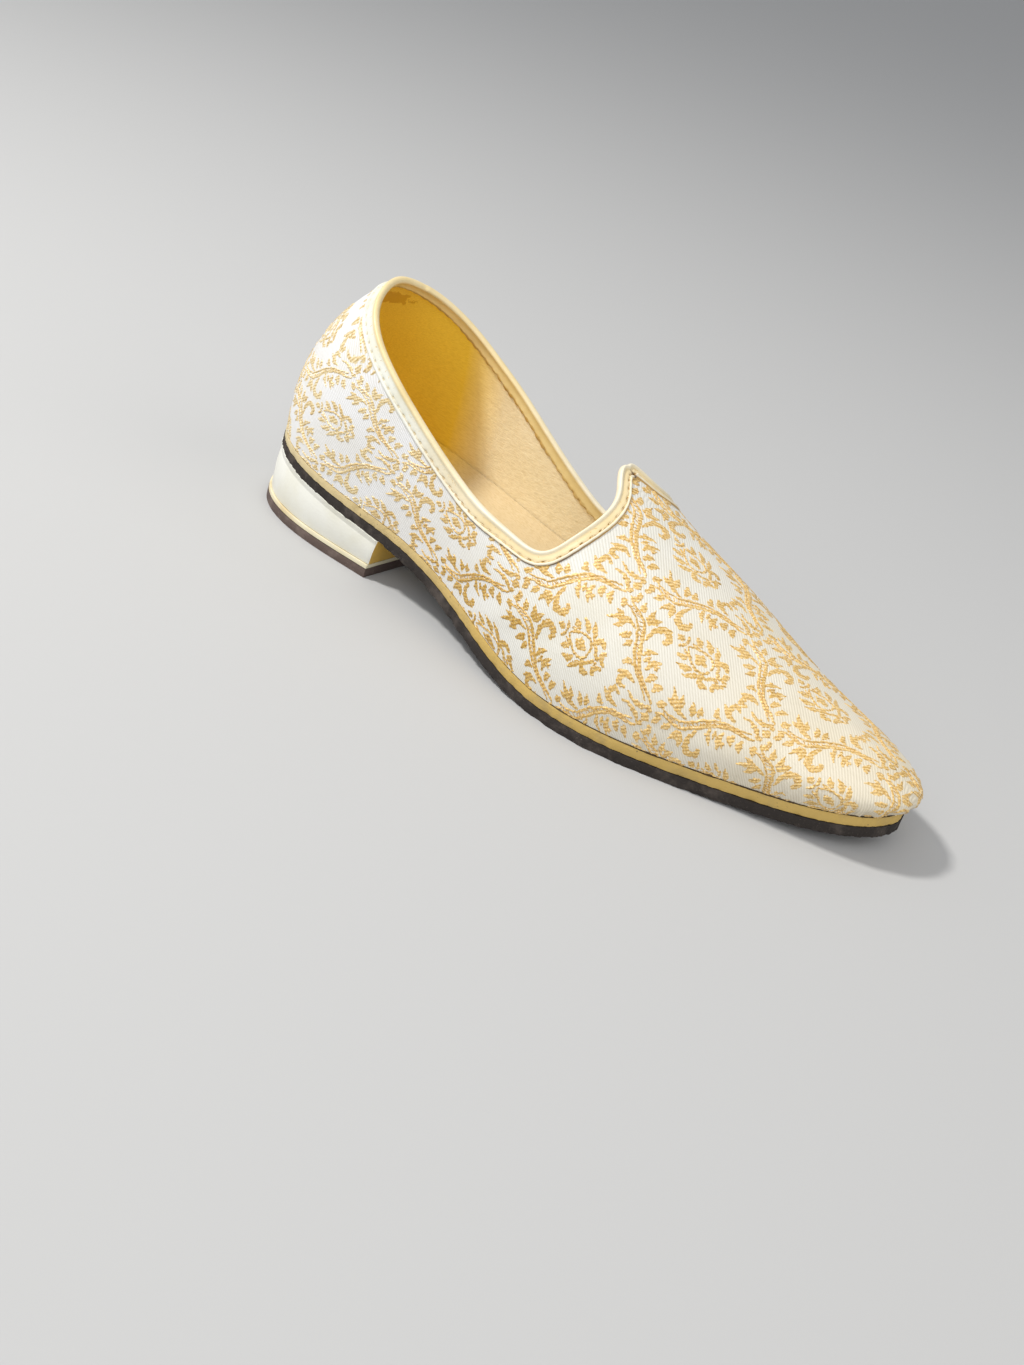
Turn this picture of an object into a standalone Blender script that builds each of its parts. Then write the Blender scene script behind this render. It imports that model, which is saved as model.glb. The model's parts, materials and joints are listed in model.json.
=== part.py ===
"""Right shoe of a pair of men's brocade slip-on shoes with a peaked throat and a low covered heel.

Metres. +X points to the toe, +Y to the inner side of the foot, +Z up. The origin is on the floor,
in the middle of the heel's resting face.
"""
import math
from collections import namedtuple

import bmesh
import bpy
import numpy as np

PART_NAME = "brocade_slip_on_shoe"

# Sides of the foot
OUTER = -1
INNER = 1

# Overall sizes
LENGTH = 0.285
BALL_WIDTH = 0.0995
TOP_HEIGHT = 0.1075
HEEL_ROUND = 0.029
TOE_ROUND = 0.0165
TOE_SWING = 0.005
SWING_FROM = 0.30

# Clearance between neighbouring pieces
FIT = 0.0003

# Heel
HEEL_LENGTH = 0.074
HEEL_HEIGHT = 0.0248
BREAST_HEIGHT = 0.0166
LIFT_THICKNESS = 0.0035
RAND_THICKNESS = 0.0016
BACK_FLARE = 0.0018
BREAST_RAKE = 0.0020
HEEL_BARREL = 0.0006

# Sole
SHANK_END = 0.60
TREAD_END = 0.74
TOE_SPRING = 0.0072
OUTSOLE_THICKNESS = 0.0040
OUTSOLE_AT_HEEL = 0.0034
MIDSOLE_THICKNESS = 0.0037
MIDSOLE_AT_HEEL = 0.0026
SOLE_EDGE = 0.0005
MIDSOLE_SET_IN = 0.0003
INSOLE_THICKNESS = 0.0025

# Upper
WALL = 0.0018
UPPER_SET_IN = 0.0006
UPPER_BULGE = 0.0032
TOE_BULGE = 0.0048
TOE_BULGE_FROM = 0.70
SIDE_ROUNDNESS = 2.12
RIDGE_BACK = 0.050
RIDGE_FRONT = 0.020

# Binding of the collar
BINDING_WIDTH = 0.0064
BINDING_BEAD = 0.0013
BINDING_SKIN = 0.0010
BINDING_HEM = 0.0007

# How finely the forms are divided
BACK_RIBS = 21
THROAT_RIBS = 10
VAMP_RIBS = 20
ROWS = 12
HEEL_RIBS = 16

# Outline of the sole: share of the length, then half widths as shares of half the ball width
Section = namedtuple("Section", "along outer inner")
OUTLINE = (
    Section(along=0.15, outer=0.680, inner=0.670),
    Section(along=0.35, outer=0.690, inner=0.665),
    Section(along=0.50, outer=0.910, inner=0.840),
    Section(along=0.68, outer=0.975, inner=0.980),
    Section(along=0.85, outer=0.625, inner=0.675),
)

# Crest of the last: share of the length, height as a share of the top height
Crest = namedtuple("Crest", "along height")
CREST = (
    Crest(along=0.150, height=1.000),
    Crest(along=0.350, height=1.005),
    Crest(along=0.500, height=0.740),
    Crest(along=0.700, height=0.475),
    Crest(along=0.840, height=0.348),
    Crest(along=0.935, height=0.292),
)

# Line of the collar from the back to the peak: share along, share of the way up to the crest
Collar = namedtuple("Collar", "outer_along outer_rise inner_along inner_rise")
COLLAR = (
    Collar(outer_along=0.000, outer_rise=0.744, inner_along=0.000, inner_rise=0.744),
    Collar(outer_along=0.100, outer_rise=0.525, inner_along=0.100, inner_rise=0.535),
    Collar(outer_along=0.200, outer_rise=0.365, inner_along=0.200, inner_rise=0.372),
    Collar(outer_along=0.300, outer_rise=0.272, inner_along=0.300, inner_rise=0.279),
    Collar(outer_along=0.388, outer_rise=0.274, inner_along=0.389, inner_rise=0.233),
    Collar(outer_along=0.455, outer_rise=0.340, inner_along=0.450, inner_rise=0.227),
    Collar(outer_along=0.497, outer_rise=0.402, inner_along=0.496, inner_rise=0.300),
    Collar(outer_along=0.516, outer_rise=0.540, inner_along=0.515, inner_rise=0.490),
    Collar(outer_along=0.515, outer_rise=0.700, inner_along=0.515, inner_rise=0.700),
    Collar(outer_along=0.490, outer_rise=0.850, inner_along=0.490, inner_rise=0.850),
    Collar(outer_along=0.458, outer_rise=0.930, inner_along=0.458, inner_rise=0.930),
    Collar(outer_along=0.444, outer_rise=1.000, inner_along=0.444, inner_rise=1.000),
)

# Where the ribs of the throat leave the sole, as shares of the length
THROAT_FROM = 0.455
THROAT_TO = 0.620
THROAT_CROWDING = 0.62
THROAT_SWEEP = 7.0
TOE_SWEEP = 1.5

# Middle of the heel's resting face, from the back of the sole
HEEL_REST = 0.5 * (HEEL_LENGTH - BREAST_RAKE - BACK_FLARE)

FACE_STEP = 0.0005
POLE_RISE = 0.97


def curve_through(knots, values):
    """Smooth curve through the values at the knots, given back as a function."""
    knots = np.array(knots, dtype=float)
    values = np.array(values, dtype=float)
    count = len(knots)
    gap = np.diff(knots)
    system = np.zeros((count, count))
    right = np.zeros(count)
    system[0, 0] = 1.0
    system[-1, -1] = 1.0
    for i in range(1, count - 1):
        system[i, i - 1] = gap[i - 1]
        system[i, i] = 2.0 * (gap[i - 1] + gap[i])
        system[i, i + 1] = gap[i]
        rise_after = (values[i + 1] - values[i]) / gap[i]
        rise_before = (values[i] - values[i - 1]) / gap[i - 1]
        right[i] = 6.0 * (rise_after - rise_before)
    bend = np.linalg.solve(system, right)

    def at(place):
        i = min(max(int(np.searchsorted(knots, place)) - 1, 0), count - 2)
        before = place - knots[i]
        after = knots[i + 1] - place
        cubic = (bend[i] * after ** 3 + bend[i + 1] * before ** 3) / (6.0 * gap[i])
        start = (values[i] / gap[i] - bend[i] * gap[i] / 6.0) * after
        end = (values[i + 1] / gap[i] - bend[i + 1] * gap[i] / 6.0) * before
        return float(cubic + start + end)

    return at


def eased(share):
    """Share from 0 to 1 that starts and stops gently."""
    share = min(max(share, 0.0), 1.0)
    return share * share * (3.0 - 2.0 * share)


def turn_at(along):
    """Angle that runs from 0 at the heel to pi at the toe, for a share of the length."""
    return math.acos(min(max(1.0 - 2.0 * along, -1.0), 1.0))


def along_at(turn):
    """Share of the length for that angle."""
    return 0.5 * (1.0 - math.cos(turn))


def fullness(widths):
    """Curve of fullness that ends in the rounds of heel and toe."""
    half = BALL_WIDTH / 2.0
    stations = [row.along for row in OUTLINE]
    inner_values = []
    for along, width in zip(stations, widths):
        inner_values.append(width / (2.0 * math.sqrt(along * (1.0 - along))))
    heel = math.sqrt(HEEL_ROUND * LENGTH / 2.0) / half
    toe = math.sqrt(TOE_ROUND * LENGTH / 2.0) / half
    return curve_through([0.0] + stations + [1.0], [heel] + inner_values + [toe])


FULLNESS = {
    OUTER: fullness([row.outer for row in OUTLINE]),
    INNER: fullness([row.inner for row in OUTLINE]),
}
CREST_HEIGHT = curve_through([row.along * LENGTH for row in CREST],
                             [row.height * TOP_HEIGHT for row in CREST])


def middle(along):
    """Sideways place of the shoe's middle line."""
    share = max(along - SWING_FROM, 0.0) / (1.0 - SWING_FROM)
    return TOE_SWING * share * share


def edge(side, turn):
    """Plan point of the sole's outline."""
    along = along_at(turn)
    half = BALL_WIDTH / 2.0 * FULLNESS[side](along) * math.sin(turn)
    return np.array((along * LENGTH, middle(along) + side * half))


def edge_outward(side, turn):
    """Outward direction of the outline in plan."""
    ahead = edge(side, turn + FACE_STEP)
    behind = edge(side, turn - FACE_STEP)
    run = ahead - behind
    run /= np.hypot(run[0], run[1])
    return np.array((-side * run[1], side * run[0]))


def outline(side, turn, set_in):
    """Plan point of the outline, set in or, below nought, set out."""
    return edge(side, turn) - edge_outward(side, turn) * set_in


def sole_bottom(x):
    """Height of the outsole's underside."""
    seat = HEEL_HEIGHT + (BREAST_HEIGHT - HEEL_HEIGHT) * x / HEEL_LENGTH
    if x <= HEEL_LENGTH:
        return seat
    start = HEEL_LENGTH / LENGTH
    share = min((x / LENGTH - start) / (SHANK_END - start), 1.0)
    fall = (BREAST_HEIGHT - HEEL_HEIGHT) / HEEL_LENGTH * (SHANK_END - start) * LENGTH
    shank = BREAST_HEIGHT * (2.0 * share ** 3 - 3.0 * share ** 2 + 1.0)
    shank += fall * (share ** 3 - 2.0 * share ** 2 + share)
    spring = max(x / LENGTH - TREAD_END, 0.0) / (1.0 - TREAD_END)
    return shank + TOE_SPRING * spring * spring


def forward_share(x):
    """0 at the heel, 1 from the shank on."""
    return eased(x / (SHANK_END * LENGTH))


def outsole_top(x):
    """Height of the outsole's upper side."""
    thickness = OUTSOLE_AT_HEEL + (OUTSOLE_THICKNESS - OUTSOLE_AT_HEEL) * forward_share(x)
    return sole_bottom(x) + thickness


def midsole_top(x):
    """Height of the midsole's upper side."""
    thickness = MIDSOLE_AT_HEEL + (MIDSOLE_THICKNESS - MIDSOLE_AT_HEEL) * forward_share(x)
    return outsole_top(x) + FIT + thickness


def crest(turn):
    """Point of the crest of the last and the slope of the crest there."""
    x = RIDGE_BACK + (LENGTH - RIDGE_FRONT - RIDGE_BACK) * along_at(turn)
    slope = (CREST_HEIGHT(x + FACE_STEP) - CREST_HEIGHT(x - FACE_STEP)) / (2.0 * FACE_STEP)
    return np.array((x, middle(x / LENGTH), CREST_HEIGHT(x))), slope


def face(side, turn, rise):
    """Point of the upper's outer face; rise runs from 0 at the sole to 1 on the crest."""
    foot = outline(side, turn, UPPER_SET_IN)
    foot_height = midsole_top(foot[0]) + FIT
    top, slope = crest(turn)
    angle = rise * math.pi / 2.0
    flat = math.copysign(abs(math.cos(angle)) ** (2.0 / SIDE_ROUNDNESS), math.cos(angle))
    lift = math.sin(angle)
    plan = foot + (top[:2] - foot) * (1.0 - flat)
    bulge = UPPER_BULGE + TOE_BULGE * eased((along_at(turn) - TOE_BULGE_FROM) / (1.0 - TOE_BULGE_FROM))
    plan += edge_outward(side, turn) * bulge * math.sin(2.0 * angle) * math.cos(angle)
    crown = top[2] + slope * (plan[0] - top[0])
    height = foot_height * (1.0 - lift) + crown * lift
    return np.array((plan[0], plan[1], height))


def slopes(side, turn, rise):
    """Directions of the face along the shoe and up the rib."""
    along = (face(side, turn + FACE_STEP, rise) - face(side, turn - FACE_STEP, rise)) / (2.0 * FACE_STEP)
    up = (face(side, turn, rise + FACE_STEP) - face(side, turn, rise - FACE_STEP)) / (2.0 * FACE_STEP)
    return along, up


def outward(side, turn, rise):
    """Outward direction of the upper's face, taken just under the pole where the crest ends."""
    if turn > math.pi - FACE_STEP:
        rise = min(rise, POLE_RISE)
    along, up = slopes(side, turn, rise)
    out = -side * np.cross(along, up)
    return out / np.linalg.norm(out)


def under_face(side, turn, rise, depth, shared):
    """Point at a depth under the face; shared points lie between the two sides."""
    out = outward(side, turn, rise)
    if shared:
        out = out + outward(-side, turn, rise)
        out /= np.linalg.norm(out)
    return face(side, turn, rise) - out * depth


def collar_curves(side):
    """Line of the collar as curves of along and rise, rounded over the peak to the other side."""
    if side == OUTER:
        rows = [(row.outer_along, row.outer_rise) for row in COLLAR]
    else:
        rows = [(row.inner_along, row.inner_rise) for row in COLLAR]
    peak = len(rows) - 1
    rows += [(along, 2.0 - rise) for along, rise in rows[-2:-4:-1]]
    marks = [0.0]
    for before, after in zip(rows[:-1], rows[1:]):
        marks.append(marks[-1] + math.hypot(2.0 * (after[0] - before[0]), after[1] - before[1]))
    marks = [mark / marks[peak] for mark in marks]
    along = curve_through(marks, [row[0] for row in rows])
    rise = curve_through(marks, [row[1] for row in rows])
    return along, rise


COLLAR_CURVES = {OUTER: collar_curves(OUTER), INNER: collar_curves(INNER)}


def collar_at(side, mark):
    """Turn and rise of the collar's line at a mark from 0 at the back to 1 at the peak."""
    along, rise = COLLAR_CURVES[side]
    return turn_at(max(along(mark), 0.0)), min(rise(mark), 1.0)


def collar_marks(side):
    """Marks of the ribs on the collar: over their feet at the back, evenly spaced in the throat."""
    along, _ = COLLAR_CURVES[side]
    marks = []
    for turn in BACK_TURNS:
        low = 0.0
        high = 0.75
        for _ in range(40):
            guess = 0.5 * (low + high)
            if along(guess) < along_at(turn):
                low = guess
            else:
                high = guess
        marks.append(0.5 * (low + high) if turn > 0.0 else 0.0)
    fine = np.linspace(marks[-1], 1.0, 121)
    points = [face(side, *collar_at(side, mark)) for mark in fine]
    run = [0.0]
    for before, after in zip(points[:-1], points[1:]):
        run.append(run[-1] + float(np.linalg.norm(after - before)))
    for i in range(1, THROAT_RIBS):
        marks.append(float(np.interp(run[-1] * i / THROAT_RIBS, run, fine)))
    return marks + [1.0]


def below_collar(side, mark, distance):
    """Turn and rise of the face at a distance below the collar's line."""
    turn, rise = collar_at(side, mark)
    start = face(side, turn, rise)
    if mark <= 0.0 or mark >= 1.0:
        run = np.array((0.0, 1.0, 0.0))
    else:
        step = 0.002
        ahead = face(side, *collar_at(side, min(mark + step, 1.0)))
        behind = face(side, *collar_at(side, max(mark - step, 0.0)))
        run = ahead - behind
    out = outward(side, turn, rise)
    down = np.cross(run, out)
    if mark >= 1.0:
        down = down * math.copysign(1.0, down[0])
    elif mark <= 0.0:
        down = down * -math.copysign(1.0, down[2])
    else:
        down = down * -side
    down /= np.linalg.norm(down)
    goal = start + down * distance
    for _ in range(6):
        along, up = slopes(side, turn, rise)
        miss = goal - face(side, turn, rise)
        grid = np.array(((along @ along, along @ up), (along @ up, up @ up)))
        move = np.linalg.solve(grid, np.array((along @ miss, up @ miss)))
        if mark > 0.0:
            turn += move[0]
        if mark < 1.0:
            rise += move[1]
    return turn, rise


def spread(first, last, count, power=1.0):
    """Places from first to last, wider at the start when the power is below one."""
    return [first + (last - first) * (i / count) ** power for i in range(count + 1)]


BACK_TURNS = spread(0.0, turn_at(THROAT_FROM), BACK_RIBS)
THROAT_FEET = spread(THROAT_FROM, THROAT_TO, THROAT_RIBS, THROAT_CROWDING)
THROAT_TURNS = [turn_at(along) for along in THROAT_FEET[1:]]
VAMP_TURNS = spread(turn_at(THROAT_TO), math.pi, VAMP_RIBS)[1:]
TURNS = BACK_TURNS + THROAT_TURNS + VAMP_TURNS
PEAK_RIB = BACK_RIBS + THROAT_RIBS
LAST_RIB = PEAK_RIB + VAMP_RIBS
BAND = (BINDING_WIDTH, 0.5 * (BINDING_WIDTH + BINDING_BEAD), BINDING_BEAD)


def rib_sweep(rib):
    """How late a rib swings from its foot towards its top."""
    if rib <= BACK_RIBS:
        return 1.0
    if rib <= PEAK_RIB:
        return 1.0 + (THROAT_SWEEP - 1.0) * (rib - BACK_RIBS) / THROAT_RIBS
    share = (rib - PEAK_RIB) / VAMP_RIBS
    return THROAT_SWEEP + (TOE_SWEEP - THROAT_SWEEP) * share ** 0.5


def ribs(side):
    """Turn and rise of every crossing of a rib with a row, from the sole to the top."""
    marks = collar_marks(side)
    peak_turn, _ = below_collar(side, 1.0, BINDING_WIDTH)
    peak_along = along_at(peak_turn)
    grid = []
    for rib, foot in enumerate(TURNS):
        if rib <= PEAK_RIB:
            head, head_rise = below_collar(side, marks[rib], BINDING_WIDTH)
        else:
            share = (rib - PEAK_RIB) / VAMP_RIBS
            head = turn_at(peak_along + (1.0 - peak_along) * share)
            head_rise = 1.0
        row = []
        for i in range(ROWS + 1):
            share = i / ROWS
            row.append((foot + (head - foot) * share ** rib_sweep(rib), head_rise * share))
        if rib <= PEAK_RIB:
            for distance in BAND[1:]:
                row.append(below_collar(side, marks[rib], distance))
        grid.append(row)
    return marks, grid


RIBS = {OUTER: ribs(OUTER), INNER: ribs(INNER)}


def is_shared(rib, row):
    """True where both sides of the upper meet: up the heel, along the crest, up the toe."""
    if rib in (0, LAST_RIB):
        return True
    if rib == PEAK_RIB:
        return row >= ROWS
    return rib > PEAK_RIB and row == ROWS


def material(name, colour, roughness):
    """Plain material of a piece."""
    finish = bpy.data.materials.new(name)
    finish.use_nodes = True
    shader = finish.node_tree.nodes["Principled BSDF"]
    shader.inputs["Base Color"].default_value = (*colour, 1.0)
    shader.inputs["Roughness"].default_value = roughness
    finish.diffuse_color = (*colour, 1.0)
    return finish


class Solid:
    """Gathers points and triangles of one piece and makes its object."""

    def __init__(self):
        self.points = []
        self.places = {}
        self.faces = []

    def point(self, key, where):
        """Number of the point with this key, added at its first use."""
        if key not in self.places:
            self.places[key] = len(self.points)
            self.points.append((where[0] - HEEL_REST, where[1], where[2]))
        return self.places[key]

    def quad(self, a, b, c, d):
        """Two triangles between four points, less any that has no area."""
        for corner in ((a, b, c), (a, c, d)):
            if len(set(corner)) == 3:
                self.faces.append(corner)

    def make(self, name, colour, roughness, collection):
        """Object of the piece, with its faces turned outward."""
        mesh = bpy.data.meshes.new(name)
        mesh.from_pydata(self.points, [], self.faces)
        form = bmesh.new()
        form.from_mesh(mesh)
        bmesh.ops.recalc_face_normals(form, faces=form.faces)
        form.to_mesh(mesh)
        form.free()
        mesh.materials.append(material(name, colour, roughness))
        piece = bpy.data.objects.new(name, mesh)
        collection.objects.link(piece)
        return piece


def make_upper(collection):
    """Hollow wall from the sole to the collar, open at both."""
    solid = Solid()

    def vertex(side, layer, rib, row):
        shared = is_shared(rib, row)
        turn, rise = RIBS[side][1][rib][row]
        if layer == 0:
            where = face(side, turn, rise)
        else:
            where = under_face(side, turn, rise, WALL, shared)
            if row == 0:
                where[2] = midsole_top(where[0]) + FIT
        return solid.point((0 if shared else side, layer, rib, row), where)

    for side in (OUTER, INNER):
        for layer in (0, 1):
            for rib in range(LAST_RIB):
                rows = ROWS + 2 if rib < PEAK_RIB else ROWS
                for row in range(rows):
                    solid.quad(vertex(side, layer, rib, row), vertex(side, layer, rib + 1, row),
                               vertex(side, layer, rib + 1, row + 1), vertex(side, layer, rib, row + 1))
        for rib in range(LAST_RIB):
            solid.quad(vertex(side, 0, rib, 0), vertex(side, 0, rib + 1, 0),
                       vertex(side, 1, rib + 1, 0), vertex(side, 1, rib, 0))
        for rib in range(PEAK_RIB):
            solid.quad(vertex(side, 0, rib, ROWS + 2), vertex(side, 0, rib + 1, ROWS + 2),
                       vertex(side, 1, rib + 1, ROWS + 2), vertex(side, 1, rib, ROWS + 2))
    return solid.make("upper", (0.86, 0.82, 0.70), 0.5, collection)


def binding_section(side, rib):
    """Closed section of the binding at a rib: outer leg, bead, inner leg, then the channel."""
    marks, grid = RIBS[side]
    shared = rib in (0, PEAK_RIB)
    skin = FIT + BINDING_SKIN
    hem = FIT + BINDING_HEM
    low, half, top = grid[rib][ROWS], grid[rib][ROWS + 1], grid[rib][ROWS + 2]
    brow = below_collar(side, marks[rib], 0.3 * BINDING_BEAD)
    crown = collar_at(side, marks[rib])
    roof = below_collar(side, marks[rib], BINDING_BEAD - FIT)
    section = (
        (low, -hem),
        (half, -skin),
        (top, -skin),
        (brow, -0.7 * skin),
        (crown, 0.5 * WALL),
        (brow, WALL + 0.7 * skin),
        (top, WALL + skin),
        (half, WALL + skin),
        (low, WALL + hem),
        (low, WALL + FIT),
        (half, WALL + FIT),
        (roof, WALL + FIT),
        (roof, -FIT),
        (half, -FIT),
        (low, -FIT),
    )
    return [under_face(side, place[0], place[1], depth, shared) for place, depth in section]


def make_binding(collection):
    """Folded strip that rides on the collar's edge all the way round."""
    solid = Solid()
    stops = [(OUTER, rib) for rib in range(PEAK_RIB + 1)]
    stops += [(INNER, rib) for rib in range(PEAK_RIB - 1, 0, -1)]
    rings = []
    for stop, (side, rib) in enumerate(stops):
        section = binding_section(side, rib)
        rings.append([solid.point((stop, i), where) for i, where in enumerate(section)])
    for stop, ring in enumerate(rings):
        after = rings[(stop + 1) % len(rings)]
        for i in range(len(ring)):
            j = (i + 1) % len(ring)
            solid.quad(ring[i], after[i], after[j], ring[j])
    return solid.make("collar_binding", (0.84, 0.78, 0.60), 0.45, collection)


def make_slab(name, turns, levels, colour, roughness, collection):
    """Closed solid through plan rings; a level gives a point for a side and a turn."""
    solid = Solid()
    last = len(turns) - 1

    def vertex(level, side, i):
        where = levels[level](side, turns[i])
        twin = levels[level](-side, turns[i])
        shared = np.linalg.norm(where - twin) < 1e-6
        return solid.point((level, 0 if shared else side, i), where)

    for side in (OUTER, INNER):
        for level in range(len(levels) - 1):
            for i in range(last):
                solid.quad(vertex(level, side, i), vertex(level, side, i + 1),
                           vertex(level + 1, side, i + 1), vertex(level + 1, side, i))
    for level in (0, len(levels) - 1):
        for i in range(last):
            solid.quad(vertex(level, OUTER, i), vertex(level, OUTER, i + 1),
                       vertex(level, INNER, i + 1), vertex(level, INNER, i))
    for level in range(len(levels) - 1):
        solid.quad(vertex(level, OUTER, last), vertex(level, INNER, last),
                   vertex(level + 1, INNER, last), vertex(level + 1, OUTER, last))
    return solid.make(name, colour, roughness, collection)


def sheet_level(set_in, height, offset):
    """Level of a sheet that covers the whole sole, at an offset from a height curve."""
    def at(side, turn):
        plan = outline(side, turn, set_in)
        return np.array((plan[0], plan[1], height(plan[0]) + offset))
    return at


def heel_level(set_in, height, fall):
    """Level of a heel piece; fall runs from 0 at the outsole to 1 on the floor."""
    def at(side, turn):
        plan = outline(side, turn, set_in)
        share = along_at(turn) * LENGTH / HEEL_LENGTH
        x = plan[0] * (1.0 - fall * BREAST_RAKE / HEEL_LENGTH) - fall * BACK_FLARE * (1.0 - share)
        return np.array((x, plan[1], height(x)))
    return at


def make_sheets(collection):
    """Outsole, midsole and insole."""
    edge_low = SOLE_EDGE
    set_in = MIDSOLE_SET_IN
    insole_in = UPPER_SET_IN + WALL + 2.0 * FIT
    make_slab("outsole", TURNS, (
        sheet_level(edge_low, sole_bottom, 0.0),
        sheet_level(0.0, sole_bottom, edge_low),
        sheet_level(0.0, outsole_top, -edge_low),
        sheet_level(edge_low, outsole_top, 0.0),
    ), (0.045, 0.038, 0.034), 0.8, collection)
    make_slab("midsole", TURNS, (
        sheet_level(set_in + edge_low, outsole_top, FIT),
        sheet_level(set_in, outsole_top, FIT + edge_low),
        sheet_level(set_in, midsole_top, -edge_low),
        sheet_level(set_in + edge_low, midsole_top, 0.0),
    ), (0.60, 0.42, 0.16), 0.6, collection)
    make_slab("insole", TURNS, (
        sheet_level(insole_in, midsole_top, FIT),
        sheet_level(insole_in, midsole_top, FIT + INSOLE_THICKNESS - edge_low),
        sheet_level(insole_in + edge_low, midsole_top, FIT + INSOLE_THICKNESS),
    ), (0.72, 0.55, 0.28), 0.7, collection)


def make_heel(collection):
    """Covered heel block, bead strip and top lift."""
    turns = spread(0.0, turn_at(HEEL_LENGTH / LENGTH), HEEL_RIBS)
    rand_low = LIFT_THICKNESS + FIT
    rand_high = rand_low + RAND_THICKNESS
    block_low = rand_high + FIT

    def under_sole(x):
        return sole_bottom(x) - FIT

    def halfway(x):
        return 0.5 * (block_low + under_sole(x))

    make_slab("heel_block", turns, (
        heel_level(HEEL_BARREL, lambda x: block_low, 0.8),
        heel_level(0.0, halfway, 0.4),
        heel_level(HEEL_BARREL, under_sole, 0.0),
    ), (0.84, 0.81, 0.70), 0.5, collection)
    make_slab("heel_rand", turns, (
        heel_level(0.0, lambda x: rand_low, 0.95),
        heel_level(-0.5 * HEEL_BARREL, lambda x: 0.5 * (rand_low + rand_high), 0.9),
        heel_level(0.0, lambda x: rand_high, 0.85),
    ), (0.74, 0.62, 0.38), 0.5, collection)
    make_slab("top_lift", turns, (
        heel_level(0.0, lambda x: 0.0, 1.0),
        heel_level(0.0, lambda x: LIFT_THICKNESS, 1.0),
    ), (0.10, 0.075, 0.065), 0.8, collection)


def main():
    """Makes every piece in a collection of the shoe's own."""
    for old in list(bpy.data.objects):
        bpy.data.objects.remove(old, do_unlink=True)
    collection = bpy.data.collections.new(PART_NAME)
    bpy.context.scene.collection.children.link(collection)
    make_sheets(collection)
    make_upper(collection)
    make_binding(collection)
    make_heel(collection)


main()
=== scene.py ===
"""Looks of the right shoe of a pair of men's brocade slip-on shoes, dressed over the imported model.

Metres, in the model's own frame: +X points to the toe, +Y to the inner side of the foot, +Z up, and
the origin is on the floor in the middle of the heel's resting face.
"""
import json
import logging
import math
from collections.abc import Callable
from dataclasses import dataclass, field
from enum import Enum

import bpy
import numpy as np
from mathutils import Matrix, Vector
from mathutils.bvhtree import BVHTree
from mathutils.geometry import barycentric_transform

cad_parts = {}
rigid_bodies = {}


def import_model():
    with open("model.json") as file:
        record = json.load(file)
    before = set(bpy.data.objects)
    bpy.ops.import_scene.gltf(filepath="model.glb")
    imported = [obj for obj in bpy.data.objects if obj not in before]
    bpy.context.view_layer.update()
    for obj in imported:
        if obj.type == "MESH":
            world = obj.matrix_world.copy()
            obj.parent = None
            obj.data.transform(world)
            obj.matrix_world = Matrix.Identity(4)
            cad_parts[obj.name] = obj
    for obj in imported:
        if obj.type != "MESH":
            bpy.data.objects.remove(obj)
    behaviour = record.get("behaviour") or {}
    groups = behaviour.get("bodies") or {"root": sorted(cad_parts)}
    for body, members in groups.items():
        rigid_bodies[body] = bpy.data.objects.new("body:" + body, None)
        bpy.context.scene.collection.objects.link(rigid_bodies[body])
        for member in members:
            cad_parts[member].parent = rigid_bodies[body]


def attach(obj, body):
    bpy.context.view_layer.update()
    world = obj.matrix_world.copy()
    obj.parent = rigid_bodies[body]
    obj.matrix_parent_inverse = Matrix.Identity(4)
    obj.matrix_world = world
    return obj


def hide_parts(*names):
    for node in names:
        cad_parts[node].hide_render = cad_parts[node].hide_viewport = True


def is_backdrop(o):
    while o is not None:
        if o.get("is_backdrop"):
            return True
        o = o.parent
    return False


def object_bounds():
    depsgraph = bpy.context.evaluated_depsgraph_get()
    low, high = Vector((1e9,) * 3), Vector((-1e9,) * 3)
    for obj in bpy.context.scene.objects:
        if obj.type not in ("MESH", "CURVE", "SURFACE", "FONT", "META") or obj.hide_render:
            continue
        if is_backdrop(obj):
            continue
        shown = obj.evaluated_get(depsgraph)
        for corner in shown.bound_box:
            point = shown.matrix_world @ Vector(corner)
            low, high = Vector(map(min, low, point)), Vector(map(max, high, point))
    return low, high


LOG = logging.getLogger("shoe")
MM = 0.001
SNUG = 1e-7
STRIPES = 3.2
Triple = tuple[float, float, float]
Piece = bpy.types.Object
Finish = bpy.types.Material
Socket = bpy.types.NodeSocket
Height = Callable[[np.ndarray], np.ndarray]


class Side(Enum):
    """Side of the foot, with its sign along Y."""

    OUTER = -1
    INNER = 1


class Layer(Enum):
    """Material slot of the upper's wall."""

    CLOTH = 0
    LINING = 1


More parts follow.
